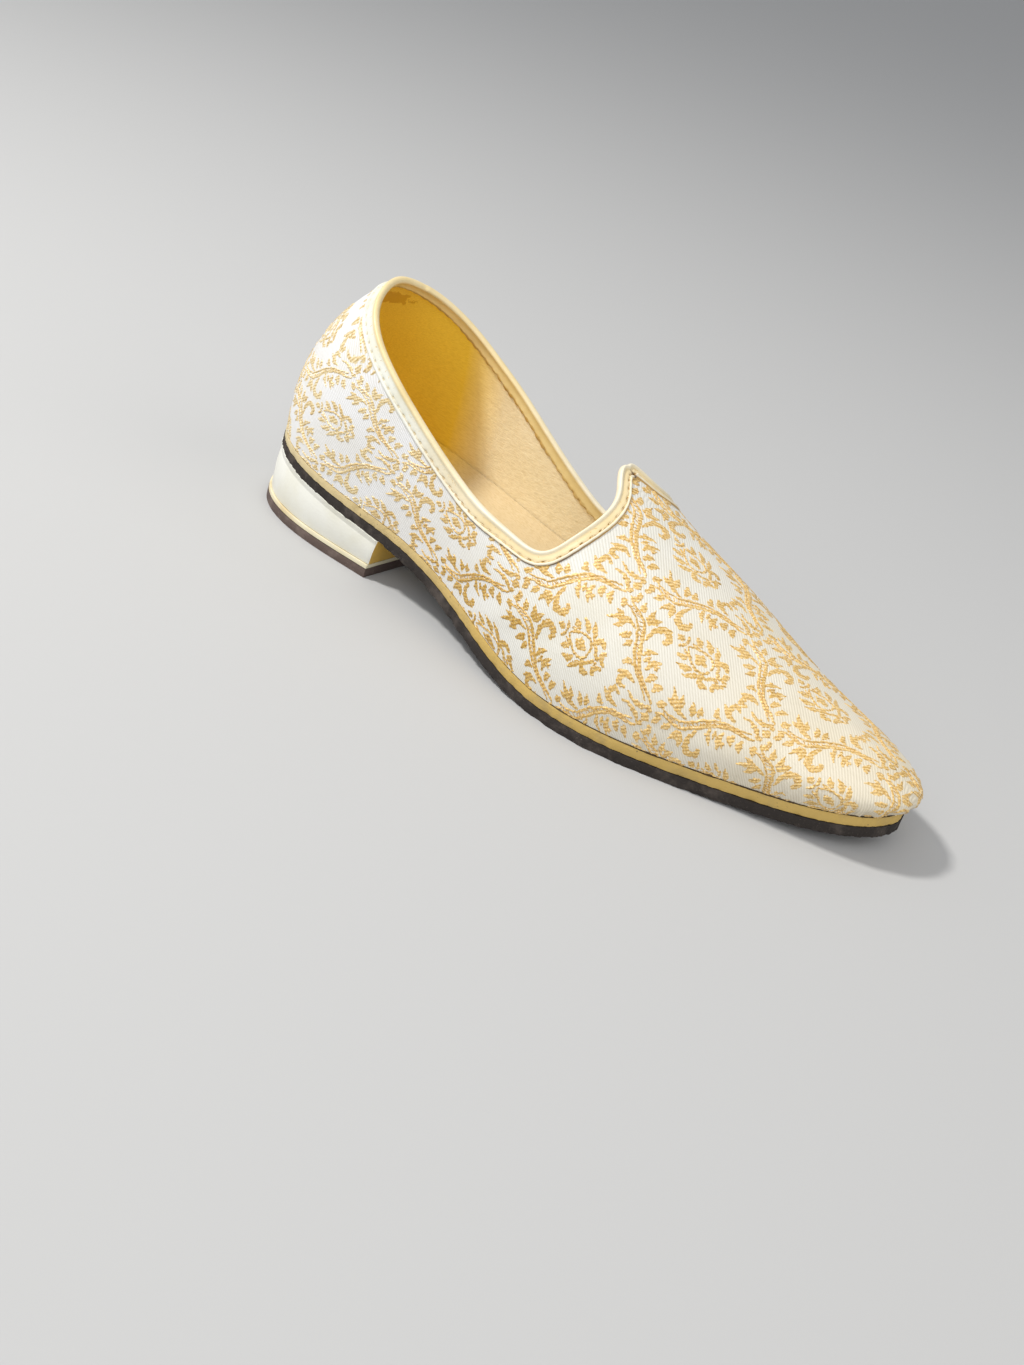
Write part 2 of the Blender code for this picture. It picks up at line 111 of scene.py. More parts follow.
class Curve:
    """Smooth curve through values at rising knots."""

    def __init__(self, knots: list[float], values: list[float]) -> None:
        """Works out how much the curve bends at each knot.

        Args:
            knots: Rising places.
            values: Value at each place.
        """
        self.knots = np.array(knots, dtype=float)
        self.values = np.array(values, dtype=float)
        count = len(knots)
        gap = np.diff(self.knots)
        system = np.eye(count)
        right = np.zeros(count)
        for i in range(1, count - 1):
            system[i, i - 1:i + 2] = (gap[i - 1], 2.0 * (gap[i - 1] + gap[i]), gap[i])
            rises = np.diff(self.values[i - 1:i + 2]) / gap[i - 1:i + 1]
            right[i] = 6.0 * (rises[1] - rises[0])
        self.gap = gap
        self.bend = np.linalg.solve(system, right)

    def __call__(self, place: np.ndarray) -> np.ndarray:
        """Value of the curve at each place."""
        place = np.asarray(place, dtype=float)
        i = np.clip(np.searchsorted(self.knots, place) - 1, 0, len(self.knots) - 2)
        gap = self.gap[i]
        before = place - self.knots[i]
        after = self.knots[i + 1] - place
        cubic = (self.bend[i] * after ** 3 + self.bend[i + 1] * before ** 3) / (6.0 * gap)
        start = (self.values[i] / gap - self.bend[i] * gap / 6.0) * after
        end = (self.values[i + 1] / gap - self.bend[i + 1] * gap / 6.0) * before
        return cubic + start + end


def eased(share: np.ndarray) -> np.ndarray:
    """Share from 0 to 1 that starts and stops gently."""
    share = np.clip(share, 0.0, 1.0)
    return share * share * (3.0 - 2.0 * share)


def turn_at(along: np.ndarray) -> np.ndarray:
    """Angle from 0 at the heel to pi at the toe, for a share of the length."""
    return np.arccos(np.clip(1.0 - 2.0 * np.asarray(along, dtype=float), -1.0, 1.0))


def along_at(turn: np.ndarray) -> np.ndarray:
    """Share of the length for that angle."""
    return 0.5 * (1.0 - np.cos(turn))


def unit(vectors: np.ndarray) -> np.ndarray:
    """Vectors of length one in the same directions."""
    return vectors / np.maximum(np.linalg.norm(vectors, axis=-1, keepdims=True), 1e-12)


def walked(points: np.ndarray) -> np.ndarray:
    """Distance walked along a line to each of its points."""
    return np.concatenate(([0.0], np.cumsum(np.linalg.norm(np.diff(points, axis=0), axis=1))))


def hump(value: np.ndarray, middle: float, width: float) -> np.ndarray:
    """Soft hump of height one round a middle."""
    return np.exp(-((value - middle) / width) ** 2)


def share_of(value: np.ndarray, start: float, end: float) -> np.ndarray:
    """Eased share of the way from a start to an end."""
    return eased((value - start) / (end - start))


@dataclass(frozen=True)
class Last:
    """Form that the shoe is built over: outline, layers of the sole and face of the upper."""

    length: float = 0.285
    ball_width: float = 0.0995
    top_height: float = 0.1075
    heel_round: float = 0.029
    toe_round: float = 0.0165
    toe_swing: float = 0.005
    swing_from: float = 0.30
    heel_length: float = 0.074
    heel_height: float = 0.0248
    breast_height: float = 0.0166
    breast_rake: float = 0.0020
    back_flare: float = 0.0018
    shank_end: float = 0.60
    tread_end: float = 0.74
    toe_spring: float = 0.0072
    outsole: float = 0.0040
    outsole_at_heel: float = 0.0034
    midsole: float = 0.0037
    midsole_at_heel: float = 0.0026
    fit: float = 0.0003
    wall: float = 0.0018
    set_in: float = 0.0006
    bulge: float = 0.0032
    toe_bulge: float = 0.0048
    toe_bulge_from: float = 0.70
    side_roundness: float = 2.12
    ridge_back: float = 0.050
    ridge_front: float = 0.020
    stations: tuple[float, ...] = (0.15, 0.35, 0.50, 0.68, 0.85)
    outer_widths: tuple[float, ...] = (0.680, 0.690, 0.910, 0.975, 0.625)
    inner_widths: tuple[float, ...] = (0.670, 0.665, 0.840, 0.980, 0.675)
    crest_places: tuple[float, ...] = (0.150, 0.350, 0.500, 0.700, 0.840, 0.935)
    crest_heights: tuple[float, ...] = (1.000, 1.005, 0.740, 0.475, 0.348, 0.292)
    step: float = 0.0005

    def __post_init__(self) -> None:
        """Keeps the curves of fullness and of the crest."""
        half = self.ball_width / 2.0
        ends = (math.sqrt(self.heel_round * self.length / 2.0) / half,
                math.sqrt(self.toe_round * self.length / 2.0) / half)
        fullness = {}
        for side, widths in ((Side.OUTER, self.outer_widths), (Side.INNER, self.inner_widths)):
            full = [w / (2.0 * math.sqrt(s * (1.0 - s))) for s, w in zip(self.stations, widths)]
            fullness[side] = Curve([0.0, *self.stations, 1.0], [ends[0], *full, ends[1]])
        crest = Curve([s * self.length for s in self.crest_places],
                      [h * self.top_height for h in self.crest_heights])
        object.__setattr__(self, "fullness", fullness)
        object.__setattr__(self, "crest_height", crest)

    @property
    def heel_rest(self) -> float:
        """Middle of the heel's resting face, from the back of the sole."""
        return 0.5 * (self.heel_length - self.breast_rake - self.back_flare)

    def middle(self, along: np.ndarray) -> np.ndarray:
        """Sideways place of the middle line."""
        share = np.maximum(along - self.swing_from, 0.0) / (1.0 - self.swing_from)
        return self.toe_swing * share * share

    def edge(self, side: Side, turn: np.ndarray) -> np.ndarray:
        """Plan points of the sole's outline."""
        along = along_at(turn)
        half = self.ball_width / 2.0 * self.fullness[side](along) * np.sin(turn)
        return np.stack((along * self.length, self.middle(along) + side.value * half), -1)

    def edge_outward(self, side: Side, turn: np.ndarray) -> np.ndarray:
        """Outward directions of the outline in plan."""
        run = unit(self.edge(side, turn + self.step) - self.edge(side, turn - self.step))
        return np.stack((-side.value * run[..., 1], side.value * run[..., 0]), -1)

    def outline(self, side: Side, turn: np.ndarray, set_in: np.ndarray) -> np.ndarray:
        """Plan points of the outline, set in by a distance."""
        return self.edge(side, turn) - self.edge_outward(side, turn) * np.asarray(set_in)[..., None]

    def sole_bottom(self, x: np.ndarray) -> np.ndarray:
        """Height of the outsole's underside at a distance from the back."""
        x = np.asarray(x, dtype=float)
        slope = (self.breast_height - self.heel_height) / self.heel_length
        start = self.heel_length / self.length
        share = np.clip((x / self.length - start) / (self.shank_end - start), 0.0, 1.0)
        fall = slope * (self.shank_end - start) * self.length
        shank = self.breast_height * (2.0 * share ** 3 - 3.0 * share ** 2 + 1.0)
        shank = shank + fall * (share ** 3 - 2.0 * share ** 2 + share)
        spring = np.maximum(x / self.length - self.tread_end, 0.0) / (1.0 - self.tread_end)
        seat = self.heel_height + slope * x
        return np.where(x <= self.heel_length, seat, shank + self.toe_spring * spring * spring)

    def outsole_top(self, x: np.ndarray) -> np.ndarray:
        """Height of the outsole's upper side."""
        share = eased(x / (self.shank_end * self.length))
        return self.sole_bottom(x) + self.outsole_at_heel + (self.outsole - self.outsole_at_heel) * share

    def midsole_top(self, x: np.ndarray) -> np.ndarray:
        """Height of the midsole's upper side."""
        share = eased(x / (self.shank_end * self.length))
        thickness = self.midsole_at_heel + (self.midsole - self.midsole_at_heel) * share
        return self.outsole_top(x) + self.fit + thickness

    def crest(self, turn: np.ndarray) -> tuple[np.ndarray, np.ndarray]:
        """Points of the crest and the crest's slope there."""
        reach = self.length - self.ridge_front - self.ridge_back
        x = self.ridge_back + reach * along_at(turn)
        ahead = self.crest_height(x + self.step)
        slope = (ahead - self.crest_height(x - self.step)) / (2.0 * self.step)
        return np.stack((x, self.middle(x / self.length), self.crest_height(x)), -1), slope

    def face(self, side: Side, turn: np.ndarray, rise: np.ndarray) -> np.ndarray:
        """Points of the upper's outer face, measured from the back of the sole.

        Args:
            side: Side of the foot.
            turn: Angle along the shoe.
            rise: 0 at the sole to 1 on the crest.

        Returns:
            An array of points.
        """
        turn, rise = np.broadcast_arrays(np.asarray(turn, float), np.asarray(rise, float))
        foot = self.outline(side, turn, np.full(turn.shape, self.set_in))
        foot_height = self.midsole_top(foot[..., 0]) + self.fit
        top, slope = self.crest(turn)
        angle = rise * math.pi / 2.0
        flat = np.sign(np.cos(angle)) * np.abs(np.cos(angle)) ** (2.0 / self.side_roundness)
        lift = np.sin(angle)
        plan = foot + (top[..., :2] - foot) * (1.0 - flat)[..., None]
        toe = eased((along_at(turn) - self.toe_bulge_from) / (1.0 - self.toe_bulge_from))
        push = (self.bulge + self.toe_bulge * toe) * np.sin(2.0 * angle) * np.cos(angle)
        plan = plan + self.edge_outward(side, turn) * push[..., None]
        crown = top[..., 2] + slope * (plan[..., 0] - top[..., 0])
        height = foot_height * (1.0 - lift) + crown * lift
        return np.concatenate((plan, height[..., None]), -1)

    def slopes(self, side: Side, turn: np.ndarray, rise: np.ndarray) -> tuple[np.ndarray, np.ndarray]:
        """Directions of the face along the shoe and up from the sole."""
        step = self.step
        along = (self.face(side, turn + step, rise) - self.face(side, turn - step, rise)) / (2.0 * step)
        up = (self.face(side, turn, rise + step) - self.face(side, turn, rise - step)) / (2.0 * step)
        return along, up

    def outward(self, side: Side, turn: np.ndarray, rise: np.ndarray) -> np.ndarray:
        """Outward directions of the face."""
        at_toe = np.asarray(turn) > math.pi - self.step
        along, up = self.slopes(side, turn, np.where(at_toe, np.minimum(rise, 0.97), rise))
        return unit(-side.value * np.cross(along, up))

    def placed(self, points: np.ndarray) -> np.ndarray:
        """Points measured from the back of the sole, in the model's frame."""
        return points - np.array((self.heel_rest, 0.0, 0.0))


@dataclass(frozen=True)
class CollarLine:
    """Line of the binding's bead from the back (mark 0) to the peak of the throat (mark 1)."""

    last: Last
    outer_along: tuple[float, ...] = (0, 0.100, 0.200, 0.300, 0.388, 0.455, 0.497, 0.516, 0.515, 0.490,
                                      0.458, 0.444)
    outer_rise: tuple[float, ...] = (0.744, 0.525, 0.365, 0.272, 0.274, 0.340, 0.402, 0.540, 0.700,
                                     0.850, 0.930, 1.000)
    inner_along: tuple[float, ...] = (0, 0.100, 0.200, 0.300, 0.389, 0.450, 0.496, 0.515, 0.515, 0.490,
                                      0.458, 0.444)
    inner_rise: tuple[float, ...] = (0.744, 0.535, 0.372, 0.279, 0.233, 0.227, 0.300, 0.490, 0.700,
                                     0.850, 0.930, 1.000)

    def __post_init__(self) -> None:
        """Keeps the two curves of each side, rounded over the peak to the other side."""
        curves = {}
        for side, alongs, rises in ((Side.OUTER, self.outer_along, self.outer_rise),
                                    (Side.INNER, self.inner_along, self.inner_rise)):
            rows = list(zip(alongs, rises))
            peak = len(rows) - 1
            rows += [(along, 2.0 - rise) for along, rise in rows[-2:-4:-1]]
            marks = [0.0]
            for before, after in zip(rows[:-1], rows[1:]):
                marks.append(marks[-1] + math.hypot(2.0 * (after[0] - before[0]), after[1] - before[1]))
            marks = [mark / marks[peak] for mark in marks]
            curves[side] = (Curve(marks, [row[0] for row in rows]), Curve(marks, [row[1] for row in rows]))
        object.__setattr__(self, "curves", curves)

    def at(self, side: Side, mark: np.ndarray) -> tuple[np.ndarray, np.ndarray]:
        """Turn and rise of the line at each mark."""
        along, rise = self.curves[side]
        return turn_at(np.maximum(along(mark), 0.0)), np.minimum(rise(mark), 1.0)

    def below(self, side: Side, mark: np.ndarray,
              distance: float | np.ndarray) -> tuple[np.ndarray, np.ndarray]:
        """Turn and rise of the face at a distance below the line.

        Args:
            side: Side of the foot.
            mark: Marks along the line.
            distance: How far down the face, in metres, once or in a column with one for each mark.

        Returns:
            Turn and rise at each mark.
        """
        last = self.last
        mark = np.asarray(mark, dtype=float)
        turn, rise = self.at(side, mark)
        start = last.face(side, turn, rise)
        step = 0.002
        run = (last.face(side, *self.at(side, np.minimum(mark + step, 1.0)))
               - last.face(side, *self.at(side, np.maximum(mark - step, 0.0))))
        ends = (mark <= 0.0) | (mark >= 1.0)
        run = np.where(ends[:, None], np.array((0.0, 1.0, 0.0)), run)
        down = -side.value * np.cross(run, last.outward(side, turn, rise))
        down = np.where((mark >= 1.0)[:, None], down * np.sign(down[:, :1]), down)
        down = np.where((mark <= 0.0)[:, None], down * -np.sign(down[:, 2:]), down)
        goal = start + unit(down) * distance
        for _ in range(6):
            along, up = last.slopes(side, turn, rise)
            miss = goal - last.face(side, turn, rise)
            aa, au, uu = (along * along).sum(-1), (along * up).sum(-1), (up * up).sum(-1)
            am, um = (along * miss).sum(-1), (up * miss).sum(-1)
            whole = aa * uu - au * au
            turn = turn + np.where(mark > 0.0, (am * uu - um * au) / whole, 0.0)
            rise = rise + np.where(mark < 1.0, (um * aa - am * au) / whole, 0.0)
        return turn, rise


@dataclass(frozen=True)
class RibPlan:
    """Ribs of the upper from heel to toe, each as turn and rise up to the collar or the crest."""

    last: Last
    line: CollarLine
    edge_below: float = 0.0013
    back_ribs: int = 84
    throat_ribs: int = 50
    vamp_ribs: int = 96
    rows: int = 52
    throat_from: float = 0.455
    throat_to: float = 0.620
    crowding: float = 0.62
    throat_sweep: float = 7.0
    toe_sweep: float = 1.5

    @property
    def count(self) -> int:
        """Number of steps from the heel to the toe."""
        return self.back_ribs + self.throat_ribs + self.vamp_ribs

    def marks(self, side: Side) -> np.ndarray:
        """Marks on the collar's line of the ribs from the heel to the peak."""
        fine = np.linspace(0.0, 1.0, 1601)
        along, _ = self.line.curves[side]
        feet = along_at(np.linspace(0.0, float(turn_at(self.throat_from)), self.back_ribs + 1))
        climb = np.maximum.accumulate(along(fine[fine < 0.75]))
        back = np.interp(feet, climb, fine[fine < 0.75])
        rest = np.linspace(back[-1], 1.0, 400)
        run = walked(self.last.face(side, *self.line.at(side, rest)))
        throat = np.interp(np.linspace(0.0, run[-1], self.throat_ribs + 1), run, rest)
        back[0] = 0.0
        return np.concatenate((back, throat[1:]))

    def grid(self, side: Side) -> tuple[np.ndarray, np.ndarray]:
        """Turn and rise at every crossing of rib and row.

        Args:
            side: Side of the foot.

        Returns:
            Two arrays of ribs by rows.
        """
        back = np.linspace(0.0, float(turn_at(self.throat_from)), self.back_ribs + 1)
        share = (np.arange(1, self.throat_ribs + 1) / self.throat_ribs) ** self.crowding
        throat = turn_at(self.throat_from + (self.throat_to - self.throat_from) * share)
        vamp = np.linspace(float(turn_at(self.throat_to)), math.pi, self.vamp_ribs + 1)[1:]
        feet = np.concatenate((back, throat, vamp))
        heads, head_rises = self.line.below(side, self.marks(side), self.edge_below)
        peak_along = float(along_at(heads[-1]))
        vamp_share = np.arange(1, self.vamp_ribs + 1) / self.vamp_ribs
        heads = np.concatenate((heads, turn_at(peak_along + (1.0 - peak_along) * vamp_share)))
        head_rises = np.concatenate((head_rises, np.ones(self.vamp_ribs)))
        sweep = np.concatenate((np.ones(self.back_ribs + 1),
                                1.0 + (self.throat_sweep - 1.0)
                                * np.arange(1, self.throat_ribs + 1) / self.throat_ribs,
                                self.throat_sweep + (self.toe_sweep - self.throat_sweep)
                                * np.sqrt(vamp_share)))
        rows = np.linspace(0.0, 1.0, self.rows + 1)
        turn = feet[:, None] + (heads - feet)[:, None] * rows[None, :] ** sweep[:, None]
        rise = head_rises[:, None] * rows[None, :]
        return turn, rise


@dataclass(frozen=True)
class ClothMap:
    """How the flat brocade lies on the last, in half steps of its repeat.

    A flower stands wherever the two counts add up to an even number, and the vines cross wherever
    they add up to an odd one.
    """

    last: Last
    step_along: float = 0.0332
    step_across: float = 0.0285
    step_across_at_heel: float = 0.0217
    flower_from_back: float = 0.0415
    side_row: float = 0.065
    crown_row: float = 0.057
    skew: float = 0.16
    heel_drop: float = 0.088
    back_until: float = 0.125
    vamp_from: float = 0.174
    vamp_stretch: float = 0.077
    wrap_share: float = 0.25
    rows_from: float = 0.105
    rows_until: float = 0.174
    middle_row: float = 2.0
    turns: int = 360
    rises: int = 120

    def table(self, side: Side) -> tuple[np.ndarray, np.ndarray, np.ndarray, np.ndarray]:
        """Counts of the repeat on an even grid of turn and rise.

        Args:
            side: Side of the foot.

        Returns:
            The turns, the rises, and the counts along and across at their crossings.
        """
        last = self.last
        turn = np.linspace(0.0, math.pi, self.turns + 1)
        rise = np.linspace(0.0, 1.0, self.rises + 1)
        points = last.face(side, turn[:, None], rise[None, :])
        run = np.linalg.norm(np.diff(points, axis=1), axis=2)
        up = np.concatenate((np.zeros((len(turn), 1)), np.cumsum(run, axis=1)), axis=1)
        down = up[:, -1:] - up
        foot = last.edge(side, turn)
        spare = walked(foot) - foot[:, 0]
        wrap = self.wrap_share * last.length
        held = np.interp(wrap, foot[:, 0], spare)
        spare = np.where(foot[:, 0] < wrap, spare - held, 0.0)
        back_s = points[..., 0] + spare[:, None]
        back_t = self.heel_drop - up
        way = foot - points[:, -1, :2]
        way = unit(np.stack((way[:, 0], np.abs(way[:, 1])), -1))
        top = points[:, -1, 0]
        top_s = top + self.vamp_stretch * np.maximum(top - self.vamp_from, 0.0)
        vamp_s = top_s[:, None] + down * way[:, :1]
        vamp_t = down * way[:, 1:]
        blend = share_of(foot[:, :1], self.back_until, self.vamp_from)
        s = back_s + (vamp_s - back_s) * blend
        t = np.maximum(back_t + (vamp_t - back_t) * blend, 0.0)
        far = self.side_row - self.step_across_at_heel
        heel_rows = np.where(t < far, t / far, 1.0 + (t - far) / self.step_across_at_heel)
        even = share_of(foot[:, :1], self.rows_from, self.rows_until)
        rows = heel_rows + (t / self.step_across - heel_rows) * even
        signed = -side.value * t
        along = (s - self.flower_from_back - self.skew * (self.crown_row - signed)) / self.step_along
        across = -side.value * rows - self.middle_row
        return turn, rise, along, across

    def counts(self, side: Side, turn: np.ndarray, rise: np.ndarray) -> np.ndarray:
        """Counts along and across at points of the face.

        Args:
            side: Side of the foot.
            turn: Angles along the shoe.
            rise: 0 at the sole to 1 on the crest.

        Returns:
            An array with the two counts of each point.
        """
        _, _, along, across = self.table(side)
        a = np.clip(turn / math.pi * self.turns, 0.0, self.turns - 1e-9)
        b = np.clip(rise * self.rises, 0.0, self.rises - 1e-9)
        i, j = a.astype(int), b.astype(int)
        u, v = a - i, b - j
        out = []
        for grid in (along, across):
            low = grid[i, j] * (1.0 - u) + grid[i + 1, j] * u
            high = grid[i, j + 1] * (1.0 - u) + grid[i + 1, j + 1] * u
            out.append(low * (1.0 - v) + high * v)
        return np.stack(out, -1)

    def flat(self, counts: np.ndarray) -> np.ndarray:
        """Places on the flat cloth in metres."""
        return counts * np.array((self.step_along, self.step_across))


class Bench:
    """Steps of modelling that several pieces share."""

    @staticmethod
    def clear() -> None:
        """Deselects everything."""
        bpy.ops.object.select_all(action="DESELECT")

    @staticmethod
    def pick(piece: Piece) -> None:
        """Makes a piece the only selected one."""
        Bench.clear()
        piece.select_set(True)
        bpy.context.view_layer.objects.active = piece

    @staticmethod
    def edit(piece: Piece, step: Callable, **options: float | bool) -> None:
        """Runs one edit-mode step on all of a piece."""
        Bench.pick(piece)
        bpy.ops.object.mode_set(mode="EDIT")
        bpy.ops.mesh.select_all(action="SELECT")
        step(**options)
        bpy.ops.object.mode_set(mode="OBJECT")

    @staticmethod
    def modified(piece: Piece, kind: str, **sizes: float | int | str) -> None:
        """Adds a modifier with its sizes and applies it."""
        Bench.pick(piece)
        tool = piece.modifiers.new(kind, kind)
        for name, value in sizes.items():
            setattr(tool, name, value)
        bpy.ops.object.modifier_apply(modifier=tool.name)

    @staticmethod
    def place(piece: Piece, points: np.ndarray) -> None:
        """Puts the vertices of a piece at the given points."""
        piece.data.vertices.foreach_set("co", np.asarray(points, dtype=np.float32).ravel())
        piece.data.update()

    @staticmethod
    def read(piece: Piece) -> np.ndarray:
        """Points of a piece's vertices."""
        points = np.zeros(len(piece.data.vertices) * 3, np.float32)
        piece.data.vertices.foreach_get("co", points)
        return points.reshape(-1, 3).astype(float)

    @staticmethod
    def unwrap(piece: Piece, name: str, flat: np.ndarray) -> None:
        """Gives a piece's vertices their own flat coordinates."""
        layers = piece.data.uv_layers
        layer = layers[0] if layers else layers.new(name=name)
        layer.name = name
        corners = np.zeros(len(piece.data.loops), np.int32)
        piece.data.loops.foreach_get("vertex_index", corners)
        layer.data.foreach_set("uv", flat[corners].astype(np.float32).ravel())

    @staticmethod
    def grid(name: str, points: np.ndarray, flat: np.ndarray | None = None) -> Piece:
        """Grid primitive whose vertices lie at an array of points.

        Args:
            name: Name of the piece.
            points: Array of columns by rows by three.
            flat: Flat coordinates, columns by rows by two, if it has its own.

        Returns:
            The new object.
        """
        columns, rows = points.shape[:2]
        Bench.clear()
        bpy.ops.mesh.primitive_grid_add(x_subdivisions=columns - 1, y_subdivisions=rows - 1, size=1.0)
        piece = bpy.context.active_object
        piece.name = piece.data.name = name
        Bench.place(piece, points.transpose(1, 0, 2).reshape(-1, 3))
        if flat is not None:
            Bench.unwrap(piece, "cloth", flat.transpose(1, 0, 2).reshape(-1, 2))
        return piece

    @staticmethod
    def ring(name: str, points: np.ndarray, flat: np.ndarray | None = None) -> Piece:
        """Grid primitive rolled into a ring, closed both ways, with its faces outward.

        Args:
            name: Name of the piece.
            points: Array of stations by section points by three.
            flat: Flat coordinates, for one more station and one more section point.

        Returns:
            The new object.
        """
        closed = np.concatenate((points, points[:1]), 0)
        piece = Bench.grid(name, np.concatenate((closed, closed[:, :1]), 1), flat)
        Bench.weld(piece, SNUG)
        Bench.outside(piece)
        return piece

    @staticmethod
    def raised(name: str, levels: list[np.ndarray], edge: float) -> Piece:
        """Closed piece: a flat sheet extruded upward once a level, with rounded edges.

        Args:
            name: Name of the piece.
            levels: Arrays of columns by rows by three, from the lowest up.
            edge: Rounding of its edges.

        Returns:
            The new object.
        """
        piece = Bench.grid(name, levels[0])
        Bench.pick(piece)
        bpy.ops.object.mode_set(mode="EDIT")
        bpy.ops.mesh.select_all(action="SELECT")
        for low, high in zip(levels[:-1], levels[1:]):
            bpy.ops.mesh.extrude_region_move(TRANSFORM_OT_translate={"value": (0.0, 0.0, 0.0)})
            bpy.ops.object.mode_set(mode="OBJECT")
            low_points, high_points = low.reshape(-1, 3), high.reshape(-1, 3)
            points = Bench.read(piece)
            for vertex in piece.data.vertices:
                if vertex.select:
                    k = int(np.argmin(((low_points - points[vertex.index]) ** 2).sum(1)))
                    points[vertex.index] = high_points[k]
            Bench.place(piece, points)
            bpy.ops.object.mode_set(mode="EDIT")
        bpy.ops.object.mode_set(mode="OBJECT")
        Bench.weld(piece)
        Bench.outside(piece)
        Bench.modified(piece, "BEVEL", width=edge, segments=2, limit_method="ANGLE",
                       angle_limit=math.radians(50.0))
        return piece

    @staticmethod
    def outside(piece: Piece) -> None:
        """Turns the faces of a closed piece outward."""
        Bench.edit(piece, bpy.ops.mesh.normals_make_consistent, inside=False)

    @staticmethod
    def weld(piece: Piece, distance: float = 2e-6) -> None:
        """Merges vertices that lie together."""
        Bench.edit(piece, bpy.ops.mesh.remove_doubles, threshold=distance)

    @staticmethod
    def join(pieces: list[Piece], name: str) -> Piece:
        """Joins pieces into one object with the given name."""
        Bench.clear()
        for piece in pieces:
            piece.select_set(True)
        bpy.context.view_layer.objects.active = pieces[0]
        bpy.ops.object.join()
        pieces[0].name = pieces[0].data.name = name
        return pieces[0]

    @staticmethod
    def thicken(piece: Piece, thickness: float, offset: float, inner: Layer) -> None:
        """Gives a surface its wall, with the inner layer's finish inside and at the rim."""
        Bench.modified(piece, "SOLIDIFY", thickness=thickness, offset=offset,
                       material_offset=inner.value, material_offset_rim=inner.value)

    @staticmethod
    def gathered(name: str, points: np.ndarray, faces: list[tuple[int, ...]]) -> Piece:
        """Makes one piece from the points and faces of many small parts."""
        mesh = bpy.data.meshes.new(name)
        mesh.from_pydata(points.tolist(), [], faces)
        piece = bpy.data.objects.new(name, mesh)
        bpy.context.scene.collection.objects.link(piece)
        return piece

    @staticmethod
    def dress(piece: Piece, finishes: tuple[Finish, ...], sharp: float, slot: str, *nodes: str) -> Piece:
        """Finishes a piece and lets it ride on the shoe.

        Args:
            piece: The piece.
            finishes: Its materials.
            sharp: Angle past which its edges stay sharp, in degrees, or 180 for none.
            slot: Material slot of the record, which is only written to the log.
            nodes: Nodes of the model that it stands for.

        Returns:
            The piece.
        """
        for finish in finishes:
            piece.data.materials.append(finish)
        Bench.pick(piece)
        if sharp >= 180.0:
            bpy.ops.object.shade_smooth()
        else:
            bpy.ops.object.shade_smooth_by_angle(angle=math.radians(sharp))
        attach(piece, "root")
        if nodes:
            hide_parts(*nodes)
        LOG.info("%s: %d faces, slot %s, stands for %s", piece.name, len(piece.data.polygons), slot, nodes)
        return piece


